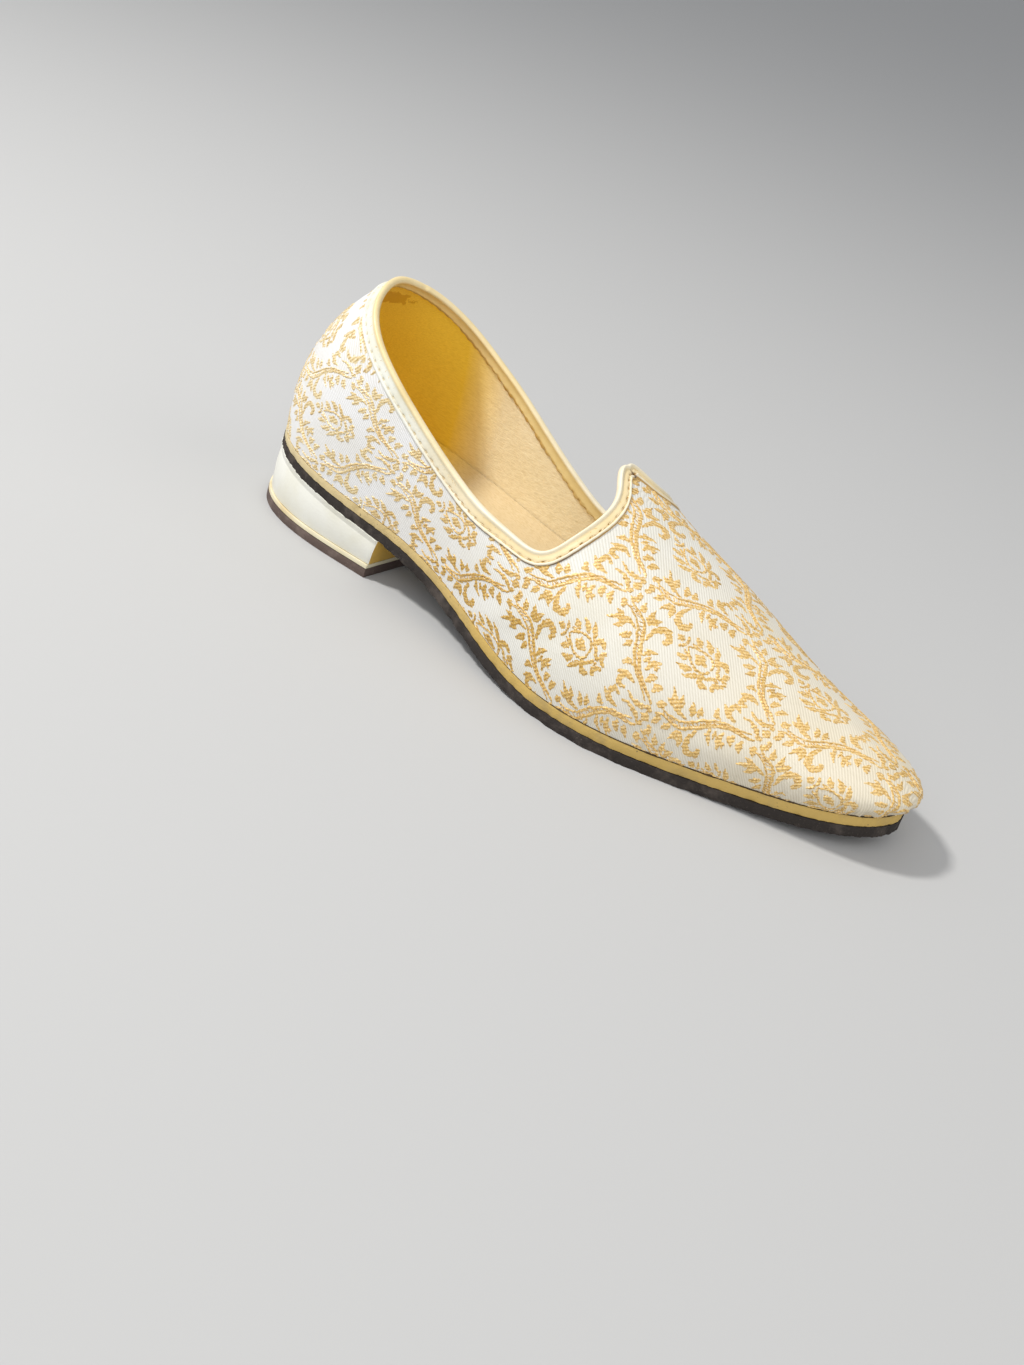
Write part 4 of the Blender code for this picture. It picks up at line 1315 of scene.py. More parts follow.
VINE = (
    Stroke(((0.044, 0.140), (0.130, 0.196), (0.242, 0.206), (0.350, 0.250), (0.426, 0.350), (0.486, 0.450),
            (0.558, 0.560), (0.650, 0.660), (0.765, 0.734), (0.890, 0.782), (0.978, 0.838)),
           (0.020, 0.034, 0.024)),
    Stroke(((0.072, 0.248), (0.181, 0.256), (0.318, 0.322), (0.406, 0.440), (0.478, 0.546), (0.572, 0.652),
            (0.668, 0.728), (0.795, 0.790), (0.910, 0.866)), (0.016, 0.026, 0.018)),
    Stroke(((0.486, 0.385), (0.474, 0.245), (0.505, 0.143), (0.567, 0.095), (0.629, 0.130), (0.645, 0.193),
            (0.619, 0.242)), (0.028, 0.068, 0.036)),
    Stroke(((0.371, 0.220), (0.412, 0.130), (0.454, 0.056)), (0.046, 0.056, 0.014)),
    Stroke(((0.567, 0.540), (0.605, 0.441), (0.680, 0.366)), (0.024, 0.040, 0.016)),
    Stroke(((0.628, 0.570), (0.640, 0.520), (0.655, 0.460)), (0.020, 0.034, 0.012)),
    Stroke(((0.700, 0.625), (0.711, 0.503), (0.773, 0.404)), (0.024, 0.050, 0.018)),
    Stroke(((0.715, 0.520), (0.755, 0.500), (0.790, 0.465)), (0.020, 0.030, 0.012)),
    Stroke(((0.790, 0.700), (0.800, 0.615), (0.845, 0.562)), (0.026, 0.060, 0.020)),
    Stroke(((0.893, 0.730), (0.905, 0.640), (0.959, 0.590)), (0.026, 0.060, 0.020)),
    Stroke(((0.335, 0.375), (0.216, 0.375), (0.113, 0.438), (0.021, 0.528)), (0.024, 0.062, 0.018)),
    Stroke(((0.205, 0.400), (0.185, 0.470), (0.144, 0.545)), (0.030, 0.052, 0.016)),
    Stroke(((0.160, 0.405), (0.110, 0.375), (0.045, 0.385)), (0.024, 0.042, 0.014)),
    Stroke(((0.340, 0.438), (0.315, 0.510), (0.262, 0.580)), (0.024, 0.058, 0.022)),
    Stroke(((0.395, 0.500), (0.385, 0.560), (0.358, 0.632)), (0.024, 0.052, 0.016)),
    Stroke(((0.572, 0.692), (0.515, 0.700), (0.478, 0.768)), (0.024, 0.052, 0.028)),
    Stroke(((0.700, 0.812), (0.588, 0.812), (0.490, 0.880)), (0.024, 0.060, 0.022)),
    Stroke(((0.565, 0.835), (0.560, 0.930), (0.606, 0.966), (0.652, 0.936)), (0.040, 0.046, 0.028)),
    Stroke(((0.705, 0.935), (0.810, 0.965), (0.915, 0.935), (0.979, 0.850)), (0.022, 0.036, 0.026)),
    Stroke(((0.085, 0.172), (0.105, 0.125), (0.138, 0.070)), (0.034, 0.050, 0.018)),
    Stroke(((0.245, 0.180), (0.230, 0.120), (0.190, 0.052)), (0.044, 0.052, 0.014)),
    Stroke(((0.340, 0.200), (0.340, 0.110), (0.318, 0.030)), (0.030, 0.042, 0.012)),
    Stroke(((0.030, 0.215), (0.045, 0.270), (0.086, 0.320)), (0.040, 0.060, 0.020)),
    Stroke(((0.080, 0.030), (0.105, 0.055), (0.140, 0.062)), (0.020, 0.044, 0.012)),
    Stroke(((-0.075, 0.036), (-0.100, 0.062), (-0.092, 0.100)), (0.024, 0.044, 0.014)),
    Stroke(((-0.018, 0.072), (-0.004, 0.100), (0.012, 0.128)), (0.018, 0.046, 0.018)),
)
CROSSING = (
    Stroke(((-0.060, 0.0), (0.0, 0.0), (0.060, 0.0)), (0.012, 0.094, 0.012)),
)


@dataclass
class Weave:
    """Gold pattern of the brocade: flowers in a net of leafy vines, laid on the cloth."""

    cloth: ClothMap
    height: float = 0.00030
    sink: float = 0.00006
    fullness: float = 1.65
    ragged: float = 0.17
    seed: int = 7
    wander: float = 0.005
    floats: int = 24
    float_reach: tuple[float, float] = (0.13, 0.95)
    float_lean: tuple[float, float] = (0.10, 0.025)
    float_widths: Triple = (0.008, 0.012, 0.008)
    lobe: float = 0.050
    lobe_at: float = 0.42
    lobe_spread: float = 1.3
    lobe_widths: Triple = (0.026, 0.034, 0.010)
    end_height: float = 0.35
    near: float = 0.00002
    search: float = 0.06
    drawn: int = field(default=0, init=False)

    @staticmethod
    def bend(path: np.ndarray, samples: int) -> np.ndarray:
        """Points of a smooth line through the path."""
        ends = np.vstack((2.0 * path[0] - path[1], path, 2.0 * path[-1] - path[-2]))
        out = []
        for i in range(1, len(ends) - 2):
            a, b, c, d = ends[i - 1:i + 3]
            for k in range(samples):
                u = k / samples
                out.append(0.5 * (2.0 * b + (c - a) * u + (2.0 * a - 5.0 * b + 4.0 * c - d) * u * u
                                  + (3.0 * b - a - 3.0 * c + d) * u ** 3))
        out.append(path[-1])
        return np.array(out)

    def vine(self) -> list[Stroke]:
        """Strokes of one vine: its chart, side lobes on its leaves and floats across its stem."""
        out = list(VINE)
        one, two = (self.bend(np.array(stroke.path), 12) for stroke in VINE[:2])
        for number, share in enumerate(np.linspace(*self.float_reach, self.floats)):
            a = one[int(share * (len(one) - 1))]
            back = self.float_lean[0] + self.float_lean[1] * math.sin(5.0 * number)
            b = two[int((share - back) * (len(two) - 1))]
            path = tuple(tuple(a + (b - a) * k) for k in (0.15, 0.50, 0.85))
            out.append(Stroke(path, self.float_widths, 1))
        for number, stroke in enumerate(VINE[2:]):
            line = self.bend(np.array(stroke.path), 4)
            k = int(self.lobe_at * len(line))
            run = unit(line[k + 1] - line[k])
            way = self.lobe_spread if number % 2 else -self.lobe_spread
            way = unit(run + way * np.array((-run[1], run[0])))
            path = tuple(tuple(line[k] + way * self.lobe * m) for m in (0.25, 0.65, 1.0))
            out.append(Stroke(path, self.lobe_widths, 2))
        return out

    def ribbon(self, stroke: Stroke, chance: np.random.Generator) -> np.ndarray:
        """Left, middle and right places of a stroke.

        Args:
            stroke: The stroke.
            chance: Source of small irregularities.

        Returns:
            Places, stations by three by two.
        """
        line = self.bend(np.array(stroke.path, dtype=float), stroke.samples)
        share = np.linspace(0.0, 1.0, len(line))
        root, belly, tip = stroke.widths
        width = np.where(share < 0.5, root + (belly - root) * eased(share * 2.0),
                         belly + (tip - belly) * eased(share * 2.0 - 1.0))
        unevenness = chance.standard_normal(len(line)).clip(-1.5, 1.5)
        width = width * self.fullness * (1.0 + self.ragged * unevenness)
        run = unit(np.gradient(line, axis=0))
        across = np.stack((-run[:, 1], run[:, 0]), -1) * (0.5 * width)[:, None]
        line = line + chance.standard_normal(line.shape).clip(-1.5, 1.5) * self.wander
        return np.stack((line - across, line, line + across), 1)

    def repeat(self, low: tuple[int, int], high: tuple[int, int]) -> tuple[np.ndarray, np.ndarray]:
        """Every stroke of the pattern between two counts.

        Args:
            low: Lowest counts along and across.
            high: Highest counts along and across.

        Returns:
            Places with their height share, and triangles.
        """
        chance = np.random.default_rng(self.seed)
        points, faces, start = [], [], 0
        flower = [(stroke, flip) for flip in (1.0, -1.0) for stroke in FLOWER]
        flower += [(stroke, 1.0) for stroke in FLOWER_MIDDLE]
        vines = [(stroke, flip) for flip in (1.0, -1.0) for stroke in self.vine()]
        vines += [(stroke, 1.0) for stroke in CROSSING]
        for i in range(low[0], high[0] + 1):
            for j in range(low[1], high[1] + 1):
                for stroke, flip in vines if (i + j) % 2 else flower:
                    places = self.ribbon(stroke, chance) * np.array((1.0, flip)) + np.array((i, j))
                    count = len(places)
                    lift = np.tile(np.array((0.0, 1.0, 0.0)), (count, 1))
                    lift[0, 1] = lift[-1, 1] = self.end_height
                    points.append(np.concatenate((places, lift[..., None]), -1).reshape(-1, 3))
                    faces.append(self.prism(count, start, flip))
                    start += count * 3
                    self.drawn += 1
        return np.concatenate(points), np.concatenate(faces)

    @staticmethod
    def prism(count: int, start: int, flip: float) -> np.ndarray:
        """Faces of one closed stroke with a three-sided section."""
        quads = []
        for k in range(count - 1):
            a = start + 3 * k
            for p, q in ((0, 1), (1, 2), (2, 0)):
                quads.append((a + p, a + 3 + p, a + 3 + q, a + q))
        out = [(a, b, c) for a, b, c, d in quads] + [(a, c, d) for a, b, c, d in quads]
        last = start + 3 * (count - 1)
        out += [(start, start + 1, start + 2), (last, last + 2, last + 1)]
        out = np.array(out)
        return out[:, ::-1] if flip < 0.0 else out

    def lay(self, skin: Piece, finish: Finish) -> Piece:
        """Lays the pattern on the cloth's surface.

        Args:
            skin: The upper's outer surface with its flat coordinates.
            finish: Material of the gold thread.

        Returns:
            The joined strokes as one piece.
        """
        mesh = skin.data
        mesh.calc_loop_triangles()
        flat = np.zeros(len(mesh.loops) * 2, np.float32)
        mesh.uv_layers[0].data.foreach_get("uv", flat)
        flat = flat.reshape(-1, 2)
        corners = [tuple(triangle.loops) for triangle in mesh.loop_triangles]
        spots = [Vector((float(u), float(v), 0.0)) for u, v in flat]
        tree = BVHTree.FromPolygons(spots, corners)
        step = np.array((self.cloth.step_along, self.cloth.step_across))
        low = np.floor(flat.min(0) / step).astype(int) - 1
        high = np.ceil(flat.max(0) / step).astype(int) + 1
        places, faces = self.repeat(tuple(low), tuple(high))
        where = np.zeros((len(places), 3))
        spot = places[:, :2] * step
        missed = np.zeros(len(places), bool)
        for k, (u, v) in enumerate(spot):
            hit, _, index, distance = tree.find_nearest(Vector((u, v, 0.0)), self.search)
            missed[k] = index is None or distance > self.near
            if index is None:
                continue
            trio = corners[index]
            flat_trio = [spots[c] for c in trio]
            verts = [mesh.vertices[mesh.loops[c].vertex_index] for c in trio]
            point = barycentric_transform(hit, *flat_trio, *(vert.co for vert in verts))
            normal = barycentric_transform(hit, *flat_trio, *(vert.normal for vert in verts)).normalized()
            where[k] = point + normal * (-self.sink + (self.height + self.sink) * places[k, 2])
        bpy.data.objects.remove(skin)
        faces = faces[~missed[faces].all(axis=1)]
        used, faces = np.unique(faces, return_inverse=True)
        piece = Bench.gathered("gold_pattern", where[used], faces.reshape(-1, 3).tolist())
        Bench.unwrap(piece, "cloth", spot[used])
        Bench.weld(piece, SNUG)
        return Bench.dress(piece, (finish,), 50.0, "upper")


@dataclass
class Binding:
    """Folded strip over the collar's edge with its bead, seam and lips."""

    last: Last
    line: CollarLine
    wall: float = 0.0012
    stations: int = 340
    pitch: float = 0.0039
    seam: float = 0.00500
    stitch_length: float = 0.0027
    stitch_radius: float = 0.00030
    ripple: float = 0.00014
    pull: float = 0.00022
    outer_leg: tuple[tuple[float, float], ...] = (
        (7.05, 0.02), (6.60, 0.24), (6.50, 0.44), (6.32, 0.74), (5.92, 0.84), (5.52, 0.70), (5.24, 0.36),
        (5.02, 0.16), (4.80, 0.28), (4.40, 0.42), (3.60, 0.36), (2.85, 0.26), (2.30, 0.26), (1.90, 0.36),
        (1.52, 0.58), (1.10, 0.82), (0.62, 0.90), (0.25, 0.72), (0.02, 0.42))
    rim: tuple[tuple[float, float], ...] = ((-0.16, 0.05), (-0.22, 0.60), (-0.16, 1.15))
    inner_leg: tuple[tuple[float, float], ...] = (
        (0.02, 0.36), (0.30, 0.60), (0.75, 0.68), (1.25, 0.54), (1.80, 0.38), (3.00, 0.40), (4.20, 0.56),
        (4.90, 0.60), (5.30, 0.54), (5.60, 0.38), (5.66, 0.02))
    narrowing: float = 0.22
    narrow_marks: tuple[float, float] = (0.50, 0.62)
    lap: tuple[float, float] = (0.012, 0.030)
    lap_height: float = 0.00035
    loose: float = 0.055
    loose_lift: float = 0.0009
    lap_fades: tuple[float, float] = (0.0004, 0.012)
    loose_outside: float = 0.014
    swing_from: float = 0.0028
    hems: tuple[float, float] = (0.0063, 0.0056)
    hem_widths: tuple[float, float] = (0.0006, 0.0005)
    seam_width: float = 0.0005
    hem_point: int = 4
    leg_point: int = 10
    stitch_height: float = 0.00022
    stitch_aim: float = 0.0008

    def marks(self) -> list[tuple[Side, np.ndarray]]:
        """Marks of the stations, up the outer side and back down the inner side."""
        out = []
        for side in Side:
            fine = np.linspace(0.0, 1.0, 2001)
            walk = walked(self.last.face(side, *self.line.at(side, fine)))
            marks = np.interp(np.linspace(0.0, walk[-1], self.stations + 1), walk, fine)
            out.append((side, marks if side is Side.OUTER else marks[-2:0:-1]))
        return out

    def section(self) -> np.ndarray:
        """Section of the strip in metres: distance below the rim's line, and depth under the cloth."""
        wall = self.wall / MM
        rows = [(d, -h) for d, h in self.outer_leg] + list(self.rim)
        rows += [(d, wall + h) for d, h in self.inner_leg]
        rows += [(5.40, wall), (3.00, wall), (0.80, wall), (0.50, 0.5 * wall), (0.80, 0.0), (3.00, 0.0),
                 (6.20, 0.0)]
        return np.array(rows) * MM

    def width(self, marks: np.ndarray) -> np.ndarray:
        """Share of the outer leg's full width at each mark; it narrows round the throat."""
        start, end = self.narrow_marks
        return 1.0 - self.narrowing * eased((marks - start) / (end - start))

    def loops(self) -> np.ndarray:
        """Points of every station's section, measured from the back of the sole."""
        rings = []
        for side, marks in self.marks():
            shared = ((marks <= 0.0) | (marks >= 1.0))[:, None]
            loops = []
            for distance, depth in self.section():
                share = self.width(marks) if depth < 0.5 * self.wall else np.ones(len(marks))
                turn, rise = self.line.below(side, marks, distance * share[:, None])
                out = self.last.outward(side, turn, rise)
                mirror = np.where((marks <= 0.0)[:, None], out * np.array((1.0, 0.0, 1.0)), out)
                other = self.last.outward(Side(-side.value), turn, rise)
                out = np.where(shared, unit(mirror + other * np.array((1.0, 0.0, 1.0))), out)
                loops.append(self.last.face(side, turn, rise) - out * depth)
            rings.append(np.stack(loops, 1))
        return np.concatenate(rings, 0)

    def worked(self, points: np.ndarray, walk: np.ndarray) -> np.ndarray:
        """Lets the lips wander a little and the seam pull them in at each stitch.

        Args:
            points: Stations by section points.
            walk: Distance of each station along the rim.

        Returns:
            The moved points.
        """
        below, depth = self.section().T
        behind = depth > 0.0011
        left = walk[-1] - walk[:, None]
        place = walk[:, None] / walk[-1] * 2.0 * math.pi
        sway = np.sin(17.0 * place) + 0.7 * np.sin(31.0 * place + 1.0) + 0.4 * np.sin(57.0 * place + 2.0)
        tug = np.cos(2.0 * math.pi * walk[:, None] / self.pitch)
        outer_hem = hump(below, self.hems[0], self.hem_widths[0]) * (depth < 0.00001)
        inner_hem = hump(below, self.hems[1], self.hem_widths[1]) * behind
        slide = self.ripple * sway * (0.35 * outer_hem + 1.6 * inner_hem)
        slide = slide - self.pull * tug * (0.2 * outer_hem + 1.6 * inner_hem)
        back = np.minimum(walk[:, None], left + 0.001)
        loose = eased(1.0 - back / self.loose)
        loose = loose * np.where(left < 0.5 * walk[-1], 1.0, eased(1.0 - back / self.loose_outside))
        ragged = 0.55 + 0.25 * np.sin(0.9 * place * 60.0) + 0.20 * np.sin(place * 143.0 + 1.0)
        lift = self.loose_lift * loose * ragged + 0.00010
        swing = eased((below - self.swing_from) / self.swing_from) * behind
        near_seam = hump(below, self.seam, self.seam_width)
        way = 1.0 * (depth > 0.0013) - 1.0 * (depth < -0.0001)
        press = self.pull * tug * near_seam * way - lift * swing
        shell = np.arange(len(below)) < len(self.outer_leg) + len(self.rim) + len(self.inner_leg)
        lap = eased((left - self.lap[0]) / self.lap_fades[0])
        lap = lap * eased((self.lap[1] - left) / self.lap_fades[1])
        facing = np.clip((0.0006 - depth) / 0.0008, -1.0, 1.0) * shell
        press = press + self.lap_height * lap * facing
        slide = slide - self.lap_height * lap * ((below < 0.0004) * shell)
        down = unit(points[:, self.hem_point] - points[:, self.leg_point])
        out = unit(points[:, self.leg_point] - points[:, -2])
        return points + down[:, None] * slide[..., None] + out[:, None] * press[..., None]

    def build(self, finish: Finish) -> Piece:
        """Makes the strip round the whole collar."""
        points = self.loops()
        walk = walked(points[:, len(self.outer_leg) + 1])
        section = self.section()
        height = np.append(np.where(section[:, 1] < 0.5 * self.wall, -section[:, 0], section[:, 0]),
                           -section[0, 0])
        along = np.append(walk, 2.0 * walk[-1] - walk[-2])
        flat = np.stack(np.meshgrid(along, height, indexing="ij"), -1)
        piece = Bench.ring("collar_strip", self.last.placed(self.worked(points, walk)), flat)
        return Bench.dress(piece, (finish,), 70.0, "collar_binding", "collar_binding")

    def sew(self, finish: Finish) -> Piece:
        """Makes the seam's stitches, one by one, each lying in the groove above the lower lip."""
        Bench.clear()
        bpy.ops.mesh.primitive_uv_sphere_add(segments=8, ring_count=6, radius=1.0)
        model = bpy.context.active_object
        shape = Bench.read(model) * np.array((self.stitch_radius, self.stitch_radius, 1.0))
        shape[:, 2] = np.sign(shape[:, 2]) * np.abs(shape[:, 2]) ** 0.75 * self.stitch_length / 2.0
        model_faces = [tuple(face.vertices) for face in model.data.polygons]
        bpy.data.objects.remove(model)
        points, faces = [], []
        for side in Side:
            fine = np.linspace(0.0, 1.0, 900)
            turn, rise = self.line.below(side, fine, self.seam * self.width(fine)[:, None])
            out = self.last.outward(side, turn, rise)
            path = self.last.face(side, turn, rise) + out * self.stitch_height
            walk = walked(path)

            def spot(place: float, line: np.ndarray) -> np.ndarray:
                """Point of a line at a distance along the seam."""
                return np.array([np.interp(place, walk, line[:, k]) for k in range(3)])

            for place in np.arange(0.5 * self.pitch, walk[-1] - 1.3 * self.pitch, self.pitch):
                middle = spot(place, path)
                up = unit(spot(place, out))
                run = unit(spot(place + self.stitch_aim, path) - middle)
                start = len(points) * len(shape)
                points.append(middle + shape @ np.stack((np.cross(up, run), up, run)))
                faces += [tuple(start + v for v in face) for face in model_faces]
        stitches = Bench.gathered("collar_stitches", self.last.placed(np.concatenate(points)), faces)
        Bench.outside(stitches)
        return Bench.dress(stitches, (finish,), 180.0, "collar_binding")


@dataclass
class Sole:
    """Footbed, midsole and outsole as cut sheets with rough edges."""

    last: Last
    stations: int = 320
    shares: tuple[float, ...] = (0.0, 0.02, 0.05, 0.09, 0.15, 0.25, 0.38, 0.5, 0.62, 0.75, 0.85, 0.91, 0.95,
                                 0.98, 1.0)
    insole: float = 0.0025
    edge: float = 0.0005
    midsole_set_in: float = 0.0003
    roughness: float = 0.00026
    curl: float = 0.0036
    curl_width: float = 0.0100
    wall: float = 0.0012

    def sheet(self, name: str, set_in: float, low: Height, high: Height, rough: float, seed: int,
              curl: float = 0.0) -> Piece:
        """Makes one sheet: a grid over the outline, extruded to its thickness, with rounded edges.

        Args:
            name: Name of the piece.
            set_in: How far its edge lies inside the outline.
            low: Height of its underside at a distance from the back.
            high: Height of its upper side.
            rough: How far its edge wanders.
            seed: Seed of that wandering.
            curl: How far its border turns up.

        Returns:
            The sheet.
        """
        last = self.last
        turn = np.linspace(0.0, math.pi, self.stations + 1)
        edges = {}
        chance = np.random.default_rng(seed)
        for side in Side:
            wander = chance.standard_normal((2, self.stations + 1))
            wander = rough * (0.6 * wander + 0.4 * np.roll(wander, 1, axis=1))
            wander[:, 0] = wander[:, -1] = 0.0
            edges[side] = [last.outline(side, turn, set_in + row) for row in wander]
        across = np.array(self.shares)
        width = np.linalg.norm(edges[Side.INNER][1] - edges[Side.OUTER][1], axis=1)
        border = np.minimum(across, 1.0 - across)[None, :] * width[:, None]
        lift = curl * np.clip(1.0 - border / self.curl_width, 0.0, 1.0) ** 2
        levels = []
        for outer, inner, height, share in zip(edges[Side.OUTER], edges[Side.INNER], (low, high), (0.7, 1.0)):
            plan = outer[:, None] + (inner - outer)[:, None] * across[None, :, None]
            level = (height(plan[..., 0]) + share * lift)[..., None]
            levels.append(last.placed(np.concatenate((plan, level), -1)))
        return Bench.raised(name, levels, self.edge)

    def build(self, outsole: Finish, midsole: Finish, insole: Finish) -> None:
        """Makes the three sheets."""
        last = self.last

        def raised(height: Height, more: float) -> Height:
            """Height function a distance above another."""
            return lambda x: height(x) + more

        inset = last.set_in + self.wall + 0.5 * last.fit
        seat = raised(last.midsole_top, last.fit)
        sheets = (
            ("outsole", "outsole_sheet", outsole, 0.0, last.sole_bottom, last.outsole_top, self.roughness, 3),
            ("midsole", "midsole_sheet", midsole, self.midsole_set_in, raised(last.outsole_top, last.fit),
             last.midsole_top, 0.6 * self.roughness, 5),
            ("insole", "footbed_sock", insole, inset, seat, raised(seat, self.insole), 0.0, 9, self.curl),
        )
        for node, name, finish, *sizes in sheets:
            Bench.dress(self.sheet(name, *sizes), (finish,), 35.0, node, node)


@dataclass
class FeatherLine:
    """Dark ragged line of glue and shade under the cloth's lower edge."""

    last: Last
    stations: int = 420
    set_in: float = 0.00042
    hidden: float = 0.0013
    starts: tuple[float, float] = (0.40, 0.62)
    thin: float = 0.00005
    thick: float = 0.00036
    swell: int = 9
    facets: int = 6
    seed: int = 21

    def build(self, finish: Finish) -> Piece:
        """Makes the line round the whole shoe, swelling and thinning along its way."""
        last = self.last
        turn = np.linspace(0.0, math.pi, self.stations + 1)
        behind = 1.0 - share_of(along_at(turn), *self.starts)
        set_in = self.set_in + (self.hidden - self.set_in) * behind
        outer = last.outline(Side.OUTER, turn, set_in)
        inner = last.outline(Side.INNER, turn, set_in)[-2:0:-1]
        plan = np.concatenate((outer, inner))
        way = unit(np.roll(plan, -1, axis=0) - np.roll(plan, 1, axis=0))
        out = np.stack((-way[:, 1], way[:, 0]), -1)
        chance = np.random.default_rng(self.seed)
        rough = chance.random(len(plan))
        knots = np.arange(0, len(plan) + self.swell, self.swell)
        slow = np.interp(np.arange(len(plan)), knots, chance.random(len(knots)))
        radius = self.thin + (self.thick - self.thin) * eased(2.0 * slow - 0.45) * (0.6 + 0.4 * rough)
        height = last.midsole_top(plan[:, 0]) + 0.5 * last.fit
        rings = []
        for angle in np.linspace(0.0, 2.0 * math.pi, self.facets + 1)[:-1]:
            side = plan + out * (radius * math.cos(angle))[:, None]
            rings.append(np.concatenate((side, (height + radius * math.sin(angle))[:, None]), 1))
        line = Bench.ring("feather_line", last.placed(np.stack(rings, 1)))
        return Bench.dress(line, (finish,), 180.0, "midsole")


@dataclass
class Heel:
    """Covered heel block with its bead strip and top lift."""

    last: Last
    lift: float = 0.0035
    rand: float = 0.0016
    barrel: float = 0.0006
    rounding: float = 0.0006
    cover: float = 0.0004
    block_set_in: float = 0.0002
    breast_facing: float = 0.8
    torn_steps: int = 190
    torn_gap: float = 0.004
    torn_seed: int = 31
    ribs: int = 60
    across: int = 8
    lap_places: tuple[float, ...] = (0.00, 0.05, 0.09, 0.12, 0.15, 0.19, 0.22, 0.26, 0.30, 0.34, 0.40, 0.47,
                                     0.55, 0.64, 0.74, 0.84, 0.93, 1.00)
    lap_heights: tuple[float, ...] = (2.50, 2.30, 1.20, 1.90, 1.50, 0.30, 1.30, 0.35, 1.15, 0.70, 0.95, 0.50,
                                      0.75, 0.35, 0.50, 0.20, 0.40, 0.15)
    lap_rows: tuple[Triple, ...] = (
        (-0.0022, 0.0, -0.00042), (-0.0004, 0.0, -0.00002), (0.0, 0.5, 0.00014), (0.0, 1.0, 0.00018))

    def ring(self, turn: np.ndarray, set_in: float, fall: float) -> np.ndarray:
        """Plan points between the two edges of the heel at a fall from 0 at the sole to 1 below."""
        last = self.last
        share = along_at(turn) * last.length / last.heel_length
        edges = []
        for side in (Side.OUTER, Side.INNER):
            plan = last.outline(side, turn, np.full(turn.shape, set_in))
            plan[:, 0] = (plan[:, 0] * (1.0 - fall * last.breast_rake / last.heel_length)
                          - fall * last.back_flare * (1.0 - share))
            edges.append(plan)
        across = np.linspace(0.0, 1.0, self.across + 1)
        return edges[0][:, None] + (edges[1] - edges[0])[:, None] * across[None, :, None]

    def layer(self, name: str, rings: tuple[tuple[float, float, Height], ...], edge: float) -> Piece:
        """Makes one piece of the heel by extruding its underside upward, ring by ring.

        Args:
            name: Name of the piece.
            rings: Inset, fall and height function of each ring from below.
            edge: Rounding of its edges.

        Returns:
            The piece.
        """
        last = self.last
        turn = np.linspace(0.0, float(turn_at(last.heel_length / last.length)), self.ribs + 1)
        levels = []
        for set_in, fall, height in rings:
            plan = self.ring(turn, set_in, fall)
            levels.append(last.placed(np.concatenate((plan, height(plan[..., 0])[..., None]), -1)))
        return Bench.raised(name, levels, edge)

    def torn_edge(self, under_sole: Height, finish: Finish) -> None:
        """Makes the cover's torn upper edge, which laps over the cut edge of the sole."""
        last = self.last
        end = float(turn_at(last.heel_length / last.length))
        sides = []
        for side in (Side.INNER, Side.OUTER):
            turn = np.linspace(0.0, end - self.torn_gap, self.torn_steps)
            rise = np.interp(turn / turn[-1], self.lap_places, self.lap_heights) * MM
            chance = np.random.default_rng(self.torn_seed + side.value)
            rise = rise * (0.80 + 0.4 * chance.random(len(turn)))
            rise[0] = self.lap_heights[0] * MM
            rows = []
            for shift, share, out in self.lap_rows:
                plan = last.outline(side, turn, np.full(turn.shape, -out))
                height = under_sole(plan[:, 0]) + shift + share * rise
                rows.append(np.concatenate((plan, height[:, None]), 1))
            order = slice(None, None, -1) if side is Side.INNER else slice(1, None)
            sides.append(np.stack(rows, 1)[order])
        rim = Bench.grid("torn_cover_rim", last.placed(np.concatenate(sides)))
        Bench.thicken(rim, self.cover, 0.0, Layer.CLOTH)
        Bench.outside(rim)
        Bench.dress(rim, (finish,), 40.0, "heel_block")

    def build(self, cover: Finish, breast: Finish, strip: Finish, rubber: Finish) -> None:
        """Makes block, torn rim, bead strip and lift."""
        last = self.last
        rand_low = self.lift + last.fit
        rand_high = rand_low + self.rand
        block_low = rand_high + last.fit

        def under_sole(x: np.ndarray) -> np.ndarray:
            """Height just below the outsole."""
            return last.sole_bottom(x) - last.fit

        def level(height: float) -> Height:
            """Height function of a flat level."""
            return lambda x: np.full(np.shape(x), height)

        block = self.layer("covered_heel", ((self.barrel, 0.8, level(block_low)),
                                            (0.0, 0.4, lambda x: 0.5 * (block_low + under_sole(x))),
                                            (self.block_set_in, 0.0, under_sole)), self.rounding)
        Bench.dress(block, (cover, breast), 40.0, "heel_block", "heel_block")
        for face in block.data.polygons:
            face.material_index = int(face.normal.x > self.breast_facing)
        self.torn_edge(under_sole, cover)
        rand = self.layer("heel_bead", ((0.0, 0.95, level(rand_low)), (0.0, 0.85, level(rand_high))),
                          self.rounding)
        Bench.dress(rand, (strip,), 60.0, "heel_rand", "heel_rand")
        lift = self.layer("rubber_lift", ((0.0, 1.0, level(0.0)), (0.0, 1.0, level(self.lift))), self.cover)
        Bench.dress(lift, (rubber,), 40.0, "top_lift", "top_lift")


